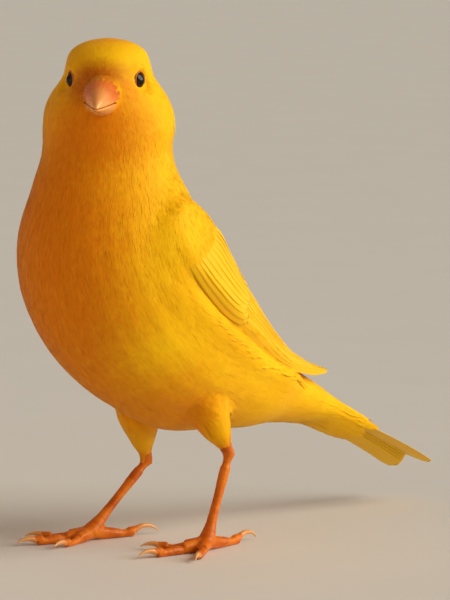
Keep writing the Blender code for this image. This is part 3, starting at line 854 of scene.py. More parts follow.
# The constants of each shader.
DOWN_GLOSS = {
    "Specular IOR Level": 0.2,
    "Specular Tint": (1.0, 0.75, 0.3, 1),
    "Sheen Weight": 0.12,
    "Sheen Roughness": 0.4,
    "Sheen Tint": (1.0, 0.62, 0.08, 1),
}
VANE_GLOSS = {
    "Specular IOR Level": 0.3,
    "Specular Tint": (1.0, 0.8, 0.45, 1),
    "Sheen Weight": 0.08,
    "Sheen Tint": (1.0, 0.7, 0.2, 1),
}
HORN_GLOSS = {
    "Specular Tint": (1.0, 0.85, 0.65, 1),
    "Subsurface Weight": 0.15,
    "Subsurface Radius": (1.0, 0.4, 0.2),
    "Subsurface Scale": 0.8 * MM,
}
EYE_GLOSS = {"Specular IOR Level": 0.15, "Coat Weight": 0.2, "Coat Roughness": 0.02}
LEATHER_GLOSS = {
    "Specular IOR Level": 0.35,
    "Specular Tint": (1.0, 0.8, 0.55, 1),
    "Subsurface Weight": 0.12,
    "Subsurface Radius": (1.0, 0.35, 0.15),
    "Subsurface Scale": 0.7 * MM,
}
# The share of the skin's colour that is left in the creases between its scales.
CREASE_SHADE = 0.55

# A mark of the plumage: an ellipsoid, turned about the vertical, inside which the ground colour becomes
# another.
Mark = namedtuple("Mark", "centre reach turn edge colour strength")


def plumage_marks_and_painted_shade(colours):
    """Where the plumage is deeper, browner or paler than its ground. The deep marks are partly the bird's own
    orange and partly painted shade.
    """
    deep, brown, pale = colours.deep, colours.brown, colours.pale
    head_turn = math.atan2(HEAD_LEFT.y, HEAD_LEFT.x)
    return (
        # Partly painted shade: deep orange over the breast's front, which lies in shade, on top of the
        # breast's own orange.
        Mark((0, -28, 62), (26, 25, 43), 0, 0.4, deep, 0.9),
        # Painted shade: deep orange on the underside of the belly.
        Mark((0, -4, 36), (22, 27, 21), 0, 0.4, deep, 0.7),
        # Painted shade: deep orange on the left thigh only.
        Mark(LEGS["left"].knee, (7, 9, 16), 0, 0.4, deep, 0.5),
        # Partly painted shade: deep orange over the face and throat, on top of their own orange.
        Mark(head_point(0, 8, 90), (14, 12, 14), head_turn, 0.4, deep, 0.85),
        Mark(head_point(0, 8.6, 102.4), (9.0, 6.5, 4.4), head_turn, 0.1, brown, 0.9),
        Mark(head_point(-1.5, 9.8, 100.2), (7.0, 5.0, 6.5), head_turn, 0.2, brown, 0.8),
        Mark(head_point(-5.5, 9.0, 99.5), (4.0, 4.6, 4.6), head_turn, 0.1, brown, 0.6),
        Mark(head_point(5.5, 9.0, 99.5), (3.0, 3.6, 3.6), head_turn, 0.3, deep, 0.5),
        Mark(head_point(0, -2, 110), (8, 10, 5.5), head_turn, 0.4, colours.crown, 0.8),
        Mark((0, 24, 22), (14, 22, 11), 0, 0.5, pale, 0.3),
        Mark(LEGS["left"].heel, (5, 5, 10), 0, 0.2, colours.leg_light, 0.85),
        Mark(LEGS["right"].heel, (5, 5, 10), 0, 0.2, colours.leg_light, 0.85),
    )


def make_markings_and_painted_shade_group(colours):
    """The plumage's ground colour with its marks, some of which are painted shade, shared by the skin and the
    feathers.
    """
    nodes, entry, exit_node = new_group("Plumage Markings and Painted Shade", {"Vector": ("Vector", None)}, {"Color": "Color"})
    cloud = nodes.noise(entry["Vector"], 60, 3)
    speckle = nodes.math("SUBTRACT", nodes.noise(entry["Vector"], 800, 2), 0.5)
    colour = nodes.mix(nodes.spread(cloud, 0.35, 0.7), (*colours.ground, 1), (*colours.ground_light, 1))
    for mark in plumage_marks_and_painted_shade(colours):
        reach = [reach * MM for reach in mark.reach]
        links = {"Vector": entry["Vector"], "Location": placed(mark.centre), "Scale": reach}
        links["Rotation"] = (0, 0, mark.turn)
        sized = nodes.add("Mapping", links, vector_type="TEXTURE").outputs[0]
        distance = nodes.add("VectorMath", {0: sized}, operation="LENGTH").outputs["Value"]
        distance = nodes.math("MULTIPLY_ADD", speckle, 0.3, distance)
        share = nodes.spread(distance, mark.edge, 1.0, mark.strength, 0.0)
        colour = nodes.mix(share, colour, (*mark.colour, 1))
    nodes.feed(exit_node.inputs["Color"], colour)


def make_barbs_group():
    """Fine slanting barbs and the quill of a feather, from its own map in mm across and along."""
    inputs = {"Pitch": ("Float", 0.3), "Quill": ("Float", 0.12)}
    nodes, entry, exit_node = new_group("Feather Barbs", inputs, {"Barbs": "Float", "Quill": "Float"})
    place = nodes.add("SeparateXYZ", {0: nodes.add("UVMap", uv_map="Plume").outputs[0]}).outputs
    aside = nodes.math("ABSOLUTE", place["X"])
    slant = nodes.math("SUBTRACT", place["Y"], nodes.math("MULTIPLY", aside, 1.1))
    wander = nodes.noise(nodes.add("UVMap", uv_map="Plume").outputs[0], 1.6, 2)
    count = nodes.math("DIVIDE", slant, entry["Pitch"])
    phase = nodes.math("ADD", count, nodes.math("MULTIPLY", wander, 1.5))
    wave = nodes.math("SINE", nodes.math("MULTIPLY", phase, 2 * math.pi))
    nodes.feed(exit_node.inputs["Barbs"], nodes.math("MULTIPLY_ADD", wave, 0.5, 0.5))
    nodes.feed(exit_node.inputs["Quill"], nodes.spread(aside, 0.0, entry["Quill"], 1.0, 0.0))


def make_scales_group():
    """Cracked little plates, from a piece's own map in mm round and along the limb."""
    inputs = {"Pitch": ("Float", 1.5), "Vector": ("Vector", None)}
    nodes, entry, exit_node = new_group("Limb Scales", inputs, {"Edge": "Float", "Grain": "Float"})
    place = nodes.add("SeparateXYZ", {0: nodes.add("UVMap", uv_map="Limb").outputs[0]}).outputs
    share = nodes.math("FRACT", nodes.math("DIVIDE", place["Y"], entry["Pitch"]))
    groove = nodes.spread(nodes.math("ABSOLUTE", nodes.math("SUBTRACT", share, 0.5)), 0.4, 0.5)
    pebble = nodes.add("TexVoronoi", {"Vector": entry["Vector"], "Scale": 1900.0}, feature="DISTANCE_TO_EDGE")
    fine = nodes.spread(pebble.outputs["Distance"], 0.0, 0.12, 1.0, 0.0)
    edge = nodes.math("MAXIMUM", groove, nodes.math("MULTIPLY", fine, 0.5))
    nodes.feed(exit_node.inputs["Edge"], edge)
    nodes.feed(exit_node.inputs["Grain"], nodes.noise(entry["Vector"], 900, 3))


def make_plumage_material(name, colours, feathered):
    """The body's plumage, with barbs on the feathers and a fine grain on the skin."""
    nodes, shader = new_material(name)
    place = nodes.object_coordinates()
    colour = nodes.group("Plumage Markings and Painted Shade", Vector=place).outputs["Color"]
    if feathered:
        height, depth = nodes.group("Feather Barbs", Pitch=0.24).outputs["Barbs"], 0.03
        tone, share = nodes.attribute("tone"), nodes.attribute("share")
        light = nodes.mix(nodes.math("MULTIPLY", tone, 0.25), colour, (*colours.tip, 1))
        colour = nodes.mix(nodes.spread(share, 0.0, 0.75, 0.04, 0.0), light, (*colours.root, 1))
        colour = nodes.dimmed(colour, nodes.math("MULTIPLY_ADD", height, 0.08, 0.95))
    else:
        height, depth = nodes.noise(place, 2500, 2), 0.05
    nodes.finish(shader, DOWN_GLOSS, colour, nodes.spread(height, 0, 1, 0.5, 0.66))
    nodes.bump(shader, height, 0.35, depth)


def make_flight_material(name, colours):
    """Wing and tail feathers: pale edges, deeper middles, a lighter quill and fine barbs."""
    nodes, shader = new_material(name)
    barbs = nodes.group("Feather Barbs", Pitch=0.32, Quill=0.16).outputs
    edge, share, tone = (nodes.attribute(key) for key in ("edge", "share", "tone"))
    cloud = nodes.noise(nodes.object_coordinates(), 90, 3)
    colour = nodes.mix(cloud, (*colours.vane, 1), (*colours.vane_light, 1))
    colour = nodes.mix(nodes.spread(edge, 0.55, 1.0, 0.0, 0.45), colour, (*colours.vane_edge, 1))
    colour = nodes.mix(nodes.spread(share, 0.7, 1.0, 0.0, 0.3), colour, (*colours.vane_edge, 1))
    colour = nodes.mix(nodes.math("MULTIPLY", tone, 0.3), colour, (*colours.vane_light, 1))
    colour = nodes.mix(nodes.math("MULTIPLY", barbs["Quill"], 0.55), colour, (*colours.quill, 1))
    colour = nodes.dimmed(colour, nodes.math("MULTIPLY_ADD", barbs["Barbs"], 0.1, 0.94))
    height = nodes.math("MAXIMUM", barbs["Barbs"], nodes.math("MULTIPLY", barbs["Quill"], 2.0))
    nodes.finish(shader, VANE_GLOSS, colour, nodes.spread(barbs["Barbs"], 0, 1, 0.42, 0.58))
    nodes.bump(shader, height, 0.4, 0.04)


def make_bill_material(colours):
    """Orange horn, browner at its root and paler below and at its tip, with faint growth lines along it."""
    nodes, shader = new_material("bill_horn")
    place = nodes.object_coordinates()
    root = placed(head_point(*BILL_ROOT))
    apart = nodes.add("VectorMath", {0: place, 1: root}, operation="SUBTRACT").outputs[0]
    ahead = {0: apart, 1: HEAD_FORWARD / MM}
    along = nodes.add("VectorMath", ahead, operation="DOT_PRODUCT").outputs["Value"]
    height = nodes.math("MULTIPLY", nodes.add("SeparateXYZ", {0: apart}).outputs["Z"], 1 / MM)
    cloud = nodes.noise(place, 420, 4)
    colour = nodes.mix(cloud, (*colours.bill, 1), (*colours.bill_light, 1))
    colour = nodes.mix(nodes.spread(height, -2.2, 0.4, 0.75, 0.0), colour, (*colours.bill_pale, 1))
    colour = nodes.mix(nodes.spread(along, 4.5, 10.0, 0.0, 0.55), colour, (*colours.bill_pale, 1))
    colour = nodes.mix(nodes.spread(along, 0.0, 4.5, 0.8, 0.0), colour, (*colours.brown, 1))
    grain = nodes.stretched_noise(place, (900, 900, 5200), 4, 0.6)
    colour = nodes.dimmed(colour, nodes.spread(grain, 0.3, 0.7, 0.93, 1.04))
    nodes.finish(shader, HORN_GLOSS, colour, nodes.spread(cloud, 0.3, 0.7, 0.22, 0.34))
    nodes.bump(shader, grain, 0.25, 0.05)


def make_eye_material(colours):
    """A dark brown iris round a black pupil, under a wet clear coat."""
    nodes, shader = new_material("eye_wet")
    gaze = nodes.add("UVMap", uv_map="Gaze").outputs[0]
    aside = nodes.add("VectorMath", {0: gaze}, operation="LENGTH").outputs["Value"]
    iris = nodes.mix(nodes.stretched_noise(gaze, (9, 9, 9), 3), (*colours.iris, 1), (*colours.iris_light, 1))
    colour = nodes.mix(nodes.spread(aside, *PUPIL_EDGE), (*colours.pupil, 1), iris)
    wet = nodes.noise(nodes.object_coordinates(), 700, 2)
    nodes.finish(shader, EYE_GLOSS, colour, nodes.spread(wet, 0.3, 0.7, 0.05, 0.12))


def make_skin_material(name, base, light, roughness):
    """Bare leathery skin with scales, on legs and lids."""
    nodes, shader = new_material(name)
    place = nodes.object_coordinates()
    scales = nodes.group("Limb Scales", Vector=place, Pitch=TOE_SCUTE).outputs
    mottle = nodes.noise(place, 260, 4, 0.6)
    colour = nodes.mix(nodes.spread(mottle, 0.32, 0.68), (*base, 1), (*light, 1))
    dark = [CREASE_SHADE * channel for channel in base]
    colour = nodes.mix(nodes.math("MULTIPLY", scales["Edge"], 0.2), colour, (*dark, 1))
    height = nodes.math("SUBTRACT", nodes.math("MULTIPLY", scales["Grain"], 0.4), scales["Edge"])
    rough = nodes.spread(mottle, 0.3, 0.7, roughness - 0.06, roughness + 0.08)
    nodes.finish(shader, LEATHER_GLOSS, colour, rough)
    nodes.bump(shader, height, 0.3, 0.04)


def make_claw_material(colours):
    """Tan horn that pales a little towards the tip."""
    nodes, shader = new_material("claw_horn")
    streaks = nodes.stretched_noise(nodes.object_coordinates(), (1500, 1500, 4000), 3)
    share = nodes.spread(nodes.attribute("share"), 0, 1)
    colour = nodes.mix(share, (*colours.claw, 1), (*colours.claw_tip, 1))
    colour = nodes.mix(nodes.spread(streaks, 0.35, 0.7, 0.0, 0.35), colour, (*colours.bill_pale, 1))
    nodes.finish(shader, {}, colour, nodes.spread(streaks, 0.3, 0.7, 0.28, 0.42))
    nodes.bump(shader, streaks, 0.25, 0.04)


def make_floor_material(stage):
    """Matt pale grey, a little cloudy."""
    nodes, shader = new_material("pale_floor")
    cloud = nodes.noise(nodes.object_coordinates(), 30, 3)
    colour = nodes.mix(cloud, (*stage.floor_colour, 1), (*stage.floor_light, 1))
    nodes.finish(shader, {}, colour, 0.8)


# The coat


def spine_values(spine):
    """Length, width, spacing and depth of the feathers at places on the spine."""
    places = [plume.spine for plume in PLUMES]
    return [np.interp(spine, places, [getattr(plume, key) for plume in PLUMES]) for key in Plume._fields[1:]]


class Coat:
    """Where the feathers grow, how long they are and which way they lie."""

    def __init__(self, skin, tail_vanes):
        self.body_map = BodyMap()
        tail = tail_envelope(self.body_map)
        points = np.concatenate([skin.points, tail.points])
        triangles = np.concatenate([skin.triangles, tail.triangles + len(skin.points)])
        self.ground = Surface(points, triangles, np.concatenate([skin.normals, tail.normals]))
        self.tail_vanes = tail_vanes
        self.bill_root = np.array(head_point(*BILL_ROOT))
        self.eyes = drawn([EYE_LEFT, EYE_RIGHT])

    def near_eye(self, points):
        """Whether each place is in front of an eye."""
        near = np.zeros(len(points), bool)
        for centre, side in zip(self.eyes, (1, -1)):
            ahead, aside = past_eye(points, centre, side)
            near |= (aside < EYE_CLEAR) & (ahead > 0)
        return near

    def wing_bare(self, points):
        """Whether each place is where the wing's own feathers show."""
        share, above_low, below_high = self.body_map.read(points)
        start = WING_BARE_FROM + WING_BARE_WAVE * np.sin(above_low * WING_BARE_WAVINESS)
        between = (above_low > WING_BARE_LOW) & (below_high > WING_BARE_HIGH)
        return (share > start) & (share < WING_BARE_TO) & between

    def over_tail(self, points, normals, most):
        """Raises places that lie under the tail's vanes onto them, by no more than most."""
        raised = points.copy()
        for index, (place, way, reach) in enumerate(zip(points.tolist(), normals.tolist(), most.tolist())):
            start, way = Vector(place), Vector(way)
            hit = self.tail_vanes.tree.ray_cast(start + way * VANE_SEARCH, -way, VANE_SEARCH)
            if hit[0] is not None:
                raised[index] = start + way * min(VANE_SEARCH - hit[3] + VANE_CLEAR, reach)
        return raised

    def lie(self, points, normals):
        """The way the feathers lie at each point, along the surface."""
        index = nearest_spine(points)
        spine = SPINE_PLACES[index]
        away = unit(points - self.bill_root)
        share = ramp(spine, *HEAD_LIE)[:, None]
        way = SPINE_TO_TAIL[index] * (1 - HEAD_LESS_TO_TAIL * share) + away * share * HEAD_AWAY_FROM_BILL
        leg = thigh_sides(points)
        for side, name in ((1, "left"), (-1, "right")):
            down = Vector(LEGS[name].heel) - Vector(LEGS[name].knee)
            way[leg == side] = np.array(down.normalized())
        share, above_low, below_high = self.body_map.read(points)
        flank = band(above_low, *FLANK_LIE) * (leg == 0)
        scapular = band(below_high, *SCAPULAR_LIE)
        rise = ramp(share, *WING_LIE) * (FLANK_RISE * flank - SCAPULAR_DROP * scapular)
        way += rise[:, None] * SPINE_TO_BACK[index]
        return unit(way - (way * normals).sum(1, keepdims=True) * normals)


def petal(count):
    """Faces of a closed feather with this many rows of three points, and how many of them are its top's."""
    top, under = [], []
    for row in range(count - 1):
        a, b = 3 * row, 3 * row + 3
        top += [(a, b + 1, a + 1), (a, b, b + 1), (a + 1, b + 2, a + 2), (a + 1, b + 1, b + 2)]
        under += [(a, a + 2, b + 2), (a, b + 2, b)]
    last = 3 * count - 3
    under += [(0, 1, 2), (last, last + 2, last + 1)]
    return np.array(top + under), len(top)


def turned(ways, normals, angles):
    """Ways turned about their normals."""
    cosine, sine = np.cos(angles)[:, None], np.sin(angles)[:, None]
    return ways * cosine + np.cross(normals, ways) * sine


def grow(coat, roots, normals, ways, lengths, rows, stiffness):
    """Points, normals and ways of the feathers' rows, which follow the ground and the vanes."""
    grown, here, last = [], roots, 0.0
    for row in rows:
        straight = here + ways * (lengths * (row - last))[:, None]
        if row > 0:
            near, normals = coat.ground.nearest(straight)
            here = near + (straight - near) * stiffness[:, None]
        ways = unit(ways - (ways * normals).sum(1, keepdims=True) * normals)
        grown.append((coat.over_tail(here, normals, VANE_CLIMB * row * lengths), normals, ways))
        last = row
    return grown


def feather_points(grown, lengths, widths, depths, lifts, shape):
    """Three points for each row of each feather, with soft normals and its own map across and along."""
    points, soft, maps, shares = [], [], [], []
    for row, (here, normals, ways), width, up in zip(shape.rows, grown, shape.widths, shape.rise):
        aside = np.cross(normals, ways)
        half = (widths * width / 2)[:, None]
        high = (depths * up + lifts * row)[:, None]
        for across in (-1, 0, 1):
            drop = half * shape.arch * abs(across) + half**2 * abs(across) * FEATHER_CURVE
            off = high - drop + half * shape.arch * 0.5
            points.append(here + aside * half * across + normals * off)
            soft.append(unit(normals + aside * across * SOFT_ROUNDING))
            maps.append(np.stack([half[:, 0] * across, lengths * row], 1))
            shares.append(np.full(len(here), row))
    return [np.stack(part, 1) for part in (points, soft, maps, shares)]


def roots_for(coat, count, random):
    """Places over the ground where feathers may grow, with the sizes of each."""
    here, normals = coat.ground.scatter(count, random)
    spine = SPINE_PLACES[nearest_spine(here)]
    to_bill = np.linalg.norm(here - coat.bill_root, axis=1)
    to_eye = np.linalg.norm(here[:, None] - coat.eyes[None], axis=2).min(1)
    keep = (spine > COVERTS_END) & ~coat.near_eye(here) & ~coat.wing_bare(here)
    here, normals, spine = here[keep], normals[keep], spine[keep]
    sizes = spine_values(spine)
    leg = thigh_sides(here)
    for values, thigh in zip(sizes, THIGH_PLUME[1:]):
        values[leg != 0] = thigh
    to_face = np.minimum(to_bill[keep] - FACE_FROM_BILL, to_eye[keep] - FACE_FROM_EYE)
    face = 1 - ramp(to_face, 1.0, FACE_REACH)
    for values, least in zip(sizes, (FACE_SIZE, FACE_SIZE, FACE_SPACING, FACE_DEPTH)):
        values *= 1 + (least - 1) * face
    return here, normals, np.stack([*sizes, leg, spine], 1)


def zone_masks(points, spine, thigh):
    """Which feathers each coat piece has."""
    index = nearest_spine(points)
    back = ((points - SPINE_CENTRES[index]) * SPINE_TO_BACK[index]).sum(1) > 0
    masks = {"thigh_left": thigh > 0, "thigh_right": thigh < 0}
    for zone in ZONES:
        there = (spine >= zone.low) & (spine < zone.high) & (thigh == 0)
        if zone.side != "both":
            there &= back == (zone.side == "back")
        masks[zone.name] = there
    return masks


def bake_patches(points, spine, shares):
    """Each feather's patch on an unwrap of the skin round and along the spine."""
    index = nearest_spine(points)
    outward = points - SPINE_CENTRES[index]
    around = np.arctan2((outward * SPINE_TO_BACK[index]).sum(1), outward[:, 0])
    place = np.stack([around / (2 * math.pi) + 0.5, spine / CROWN], 1)
    corner = PATCH_MARGIN + (1 - 2 * PATCH_MARGIN) * place
    across = np.broadcast_to(np.tile((0, 0.5, 1), shares.shape[1] // 3), shares.shape)
    return corner[:, None, :] + PATCH * (np.stack([across, shares], -1) - 0.5)


def plumage_piece(name, shape, points, soft, maps, shares, tones, patches):
    """One mesh from many feathers, each with the same faces, shaded softly on both sides."""
    faces, top = petal(len(shape.rows))
    count, corners = points.shape[:2]
    all_faces = (faces[None] + np.arange(count)[:, None, None] * corners).reshape(-1, 3)
    mesh = mesh_from(name, points.reshape(-1, 3), all_faces.tolist())
    set_uv(mesh, "Plume", maps.reshape(-1, 2))
    set_uv(mesh, "OFBake", patches.reshape(-1, 2))
    set_value(mesh, "share", shares.reshape(-1))
    set_value(mesh, "tone", np.repeat(tones, corners))
    mesh.shade_smooth()
    facing = np.where(np.arange(len(faces)) < top, 1.0, -1.0)[None, :, None, None]
    mesh.normals_split_custom_set((soft[:, faces] * facing).reshape(-1, 3).tolist())
    piece = new_piece(name, mesh)
    finish_piece(piece, bpy.data.materials["plumage_feathers"], "plumage")


# Settings


def colour_setting(name, description, value):
    """A setting that is a colour."""
    return bpy.props.FloatVectorProperty(
        name=name, description=description, subtype="COLOR", size=3, min=0, max=1, default=value
    )


def length_setting(name, description, value):
    """A setting that is a length in metres."""
    return bpy.props.FloatProperty(
        name=name, description=description, subtype="DISTANCE", unit="LENGTH", precision=5, default=value
    )


def amount_setting(name, description, value, unit="NONE"):
    """A setting that is a number, 0 or more."""
    return bpy.props.FloatProperty(name=name, description=description, unit=unit, min=0, default=value)


def count_setting(name, description, value):
    """A setting that is a whole number."""
    return bpy.props.IntProperty(name=name, description=description, subtype="UNSIGNED", min=1, default=value)


class Markings(bpy.types.PropertyGroup):
    """Colours of the canary."""

    ground: colour_setting("Ground", "The plumage's deeper yellow", (0.95, 0.47, 0.002))
    ground_light: colour_setting("Light ground", "The plumage's lighter yellow", (1.0, 0.56, 0.003))
    # Deep is both the throat and breast's own orange and the colour of painted shade on the breast, belly,
    # face and left thigh.
    deep: colour_setting("Deep", "Orange of the throat and breast", (0.80, 0.18, 0.003))
    brown: colour_setting("Brown", "The band over the bill", (0.50, 0.078, 0.004))
    pale: colour_setting("Pale", "The vent", (0.95, 0.50, 0.02))
    crown: colour_setting("Crown", "The golden crown", (0.92, 0.35, 0.002))
    vane: colour_setting("Vane", "The middle of a flight feather", (0.97, 0.50, 0.003))
    vane_light: colour_setting("Light vane", "The lighter parts of a flight feather", (1.0, 0.57, 0.005))
    vane_edge: colour_setting("Vane edge", "The pale edge of a flight feather", (1.0, 0.61, 0.018))
    bill: colour_setting("Bill", "The bill's reddish orange", (0.60, 0.10, 0.008))
    bill_light: colour_setting("Light bill", "The bill's lighter patches", (0.80, 0.19, 0.014))
    bill_pale: colour_setting("Pale bill", "The lower bill's cream", (0.92, 0.46, 0.14))
    iris: colour_setting("Iris", "The eye's brown", (0.012, 0.004, 0.002))
    iris_light: colour_setting("Light iris", "The paler fibres of the eye", (0.03, 0.010, 0.004))
    lid: colour_setting("Lid", "The rim of the lids", (0.30, 0.09, 0.006))
    leg: colour_setting("Leg", "The legs' orange red", (0.54, 0.10, 0.004))
    leg_light: colour_setting("Light leg", "The lighter parts of the legs", (0.74, 0.19, 0.008))
    claw: colour_setting("Claw", "The claws' tan horn", (0.62, 0.21, 0.035))
    claw_tip: colour_setting("Claw tip", "The claws' paler tips", (0.72, 0.36, 0.12))
    tip: colour_setting("Feather tip", "The lighter shade of single body feathers", (1.0, 0.60, 0.02))
    root: colour_setting("Feather root", "The deeper root of a body feather", (0.85, 0.32, 0.002))
    quill: colour_setting("Quill", "The quill of a flight feather", (0.92, 0.48, 0.03))
    pupil: colour_setting("Pupil", "The eye's black pupil", (0.002, 0.0015, 0.001))


class CoatSettings(bpy.types.PropertyGroup):
    """How many feathers grow on the body, and how small the finest are."""

    trials: count_setting("Trials", "Places that are tried for the body's feathers", 170_000)
    wisps: count_setting("Wisps", "Fine wisps over the feathers", 46_000)
    wisp_length: amount_setting("Wisp length", "A wisp's length against a feather's in the same place", 0.6)
    wisp_width: length_setting("Wisp width", "How wide a wisp is", 0.28 * MM)
    ruff: count_setting("Ruff", "Little feathers over the bill's root", 1400)
    ruff_width: length_setting("Ruff width", "How wide a little feather over the bill's root is", 0.28 * MM)


class StageSettings(bpy.types.PropertyGroup):
    """The floor's size and the lights' strength."""

    floor: length_setting("Floor", "Half the floor's width", 12.0)
    floor_colour: colour_setting("Floor colour", "The floor's pale grey", (0.70, 0.68, 0.66))
    floor_light: colour_setting("Light floor", "The floor's paler patches", (0.74, 0.72, 0.70))
    key: amount_setting("Key light", "Strength of the key light", 3.4)
    fill: amount_setting("Fill light", "Power of the warm light on the shaded side", 0.75, "POWER")
    glint: amount_setting("Glint", "Power of the small light that shows in the eye", 0.3, "POWER")
    world: amount_setting("World", "Strength of the pale surroundings", 0.24)


class CANARY_OT_materials(bpy.types.Operator):
    """Makes the shared node groups and the materials"""

    bl_idname = "canary.materials"
    bl_label = "Materials"

    def execute(self, context):
        colours = context.scene.canary_markings
        make_markings_and_painted_shade_group(colours)
        make_barbs_group()
        make_scales_group()
        make_plumage_material("plumage_skin", colours, False)
        make_plumage_material("plumage_feathers", colours, True)
        make_flight_material("flight_vanes", colours)
        make_bill_material(colours)
        make_eye_material(colours)
        make_skin_material("leg_leather", colours.leg, colours.leg_light, 0.4)
        make_skin_material("lid_skin", colours.lid, colours.leg_light, 0.5)
        make_claw_material(colours)
        make_floor_material(context.scene.canary_stage)
        return {"FINISHED"}


# The skin


def tail_stub():
    """The root of the tail inside its coverts."""
    rings = []
    for n in range(TAIL_STUB_STEPS + 1):
        share = n / TAIL_STUB_STEPS
        spine = TAIL_STUB_START + (TAIL_STUB_END - TAIL_STUB_START) * share
        rings.append(body_ring(spine, TAIL_STUB_SIDES, -TAIL_STUB_SINK * share))
    return new_piece("tail_stub", loft_mesh("tail_stub", rings))


def past_eye(points, centre, side):
    """How far each point is from an eye's centre along the way it looks, and how far beside that line."""
    way = np.array(eye_way(side))
    apart = points - centre
    ahead = apart @ way
    return ahead, np.linalg.norm(apart - ahead[:, None] * way, axis=1)


def thigh_sides(points):
    """The leg whose thigh each place is on: 1 for the left, -1 for the right and 0 for neither."""
    torso = solids_surface("torso")
    thighs = {1: solids_surface("thigh_left"), -1: solids_surface("thigh_right")}
    side = np.zeros(len(points))
    for index, place in enumerate(points.tolist()):
        if place[2] > THIGH_TOP:
            continue
        to_torso = torso.tree.find_nearest(place)[3]
        for leg, surface in thighs.items():
            if surface.tree.find_nearest(place)[3] < to_torso:
                side[index] = leg
    return side


def tapered_thighs(points):
    """The points with the thighs drawn in towards the heels."""
    sides = thigh_sides(points)
    for side, name in ((1, "left"), (-1, "right")):
        chosen = sides == side
        knee, heel, knuckle = (np.array(place) for place in LEGS[name][:3])
        above, middle = np.zeros(chosen.sum()), np.zeros((chosen.sum(), 3))
        best = np.full(chosen.sum(), np.inf)
        for end, sign in ((knee, 1), (knuckle, -1)):
            long = np.linalg.norm(end - heel)
            way = (end - heel) / long
            reach = np.clip((points[chosen] - heel) @ way, 0, long)
            near = heel + reach[:, None] * way
            distance = np.linalg.norm(points[chosen] - near, axis=1)
            closer = distance < best
            best[closer], above[closer], middle[closer] = distance[closer], sign * reach[closer], near[closer]
        share = np.interp(above, *zip(*THIGH_TAPER))[:, None]
        points[chosen] = middle + (points[chosen] - middle) * share
    return points


def swelling(body_map, points):
    """How far the body's surface rises at each point over the wings and beside their lower edges."""
    share, above_low, below_high = body_map.read(points)
    wing = wing_top(share, above_low, below_high) * (1 - ramp(share, *WING_FADE))
    flank = band(above_low, FLANK_FROM, FLANK_TO)
    groove = np.exp(-(((above_low - GROOVE_PLACE) / GROOVE_WIDTH) ** 2))
    along = band(share, FLANK_START, FLANK_END)
    height = wing + (FLANK_SWELL * flank - WING_GROOVE * groove) * along
    for swell in SWELLS:
        distance = np.linalg.norm((points - np.array(swell.centre)) / np.array(swell.reach), axis=1)
        height += swell.height * (1 - ramp(distance, 0, 1))
    for centre, side in ((EYE_LEFT, 1), (EYE_RIGHT, -1)):
        ahead, aside = past_eye(points, drawn(centre), side)
        height -= SOCKET_DEPTH * (1 - ramp(aside, SOCKET_FLAT, SOCKET_REACH)) * (ahead > 0)
    return height


class CANARY_OT_skin(bpy.types.Operator):
    """Makes one skin from the flesh, as deep under the solids as the coat is"""

    bl_idname = "canary.skin"
    bl_label = "Skin"

    def execute(self, context):
        flesh = ("torso", "neck", "head", "thigh_left", "thigh_right")
        skin = merged_copy("skin", flesh + ("eye_left", "eye_right"), grow=SKIN_GROWTH)
        join(skin, [tail_stub()])
        remesh(skin, SKIN_VOXEL, SKIN_SMOOTHING)
        points, normals = points_of(skin.data), normals_of(skin.data)
        points = tapered_thighs(points)
        points += normals * swelling(BodyMap(), points)[:, None]
        set_points(skin.data, points)
        apply_modifier(skin, "SMOOTH", factor=0.5, iterations=SKIN_LAST_SMOOTHING)
        points, normals = points_of(skin.data), normals_of(skin.data)
        spine = SPINE_PLACES[nearest_spine(points)]
        depth = spine_values(spine)[3]
        depth[thigh_sides(points) != 0] = THIGH_PLUME.depth
        to_bill = np.linalg.norm(points - np.array(head_point(*BILL_ROOT)), axis=1)
        depth *= 1 - BILL_SKIN_DEPTH * (1 - ramp(to_bill, BILL_SKIN_REACH, FACE_REACH))
        set_points(skin.data, points - normals * (depth + COAT_SINK)[:, None])
        finish_piece(skin, bpy.data.materials["plumage_skin"], "plumage", *flesh)
        return {"FINISHED"}


# The coat's pieces


def even_pairs(count):
    """Evenly spread pairs of shares between 0 and 1."""
    index = np.arange(1, count + 1)[:, None]
    return (index * np.array(EVEN_STEPS)) % 1


def bill_point(share, angle, lift=0.0):
    """A point on the bill at a share of its length, lifted off it. Angle 90 is the top."""
    droop, a = math.radians(BILL_DROOP), math.radians(angle)
    width = BILL_WIDTH * (1 - share) ** BILL_TAPER + lift
    high, taper = (BILL_TOP, BILL_TOP_TAPER) if math.sin(a) > 0 else (BILL_BOTTOM, BILL_BOTTOM_TAPER)
    height = high * (1 - share) ** taper + lift
    along, up = BILL_LENGTH * share, height * math.sin(a) - GAPE_DROP * share * share
    forward = BILL_ROOT[1] + along * math.cos(droop) + up * math.sin(droop)
    rise = BILL_ROOT[2] - along * math.sin(droop) + up * math.cos(droop)
    return head_point(width * math.cos(a), forward, rise)


def ruff_start(coat, angle):
    """The share of the bill's length at which it comes out of the skin at an angle."""
    start = 0.0
    while start < RUFF_FURTHEST:
        here = np.array(bill_point(start, angle))
        near, normal = coat.ground.nearest(here[None])
        if ((here - near[0]) * normal[0]).sum() > RUFF_CLEAR:
            break
        start += RUFF_STEP
    return start


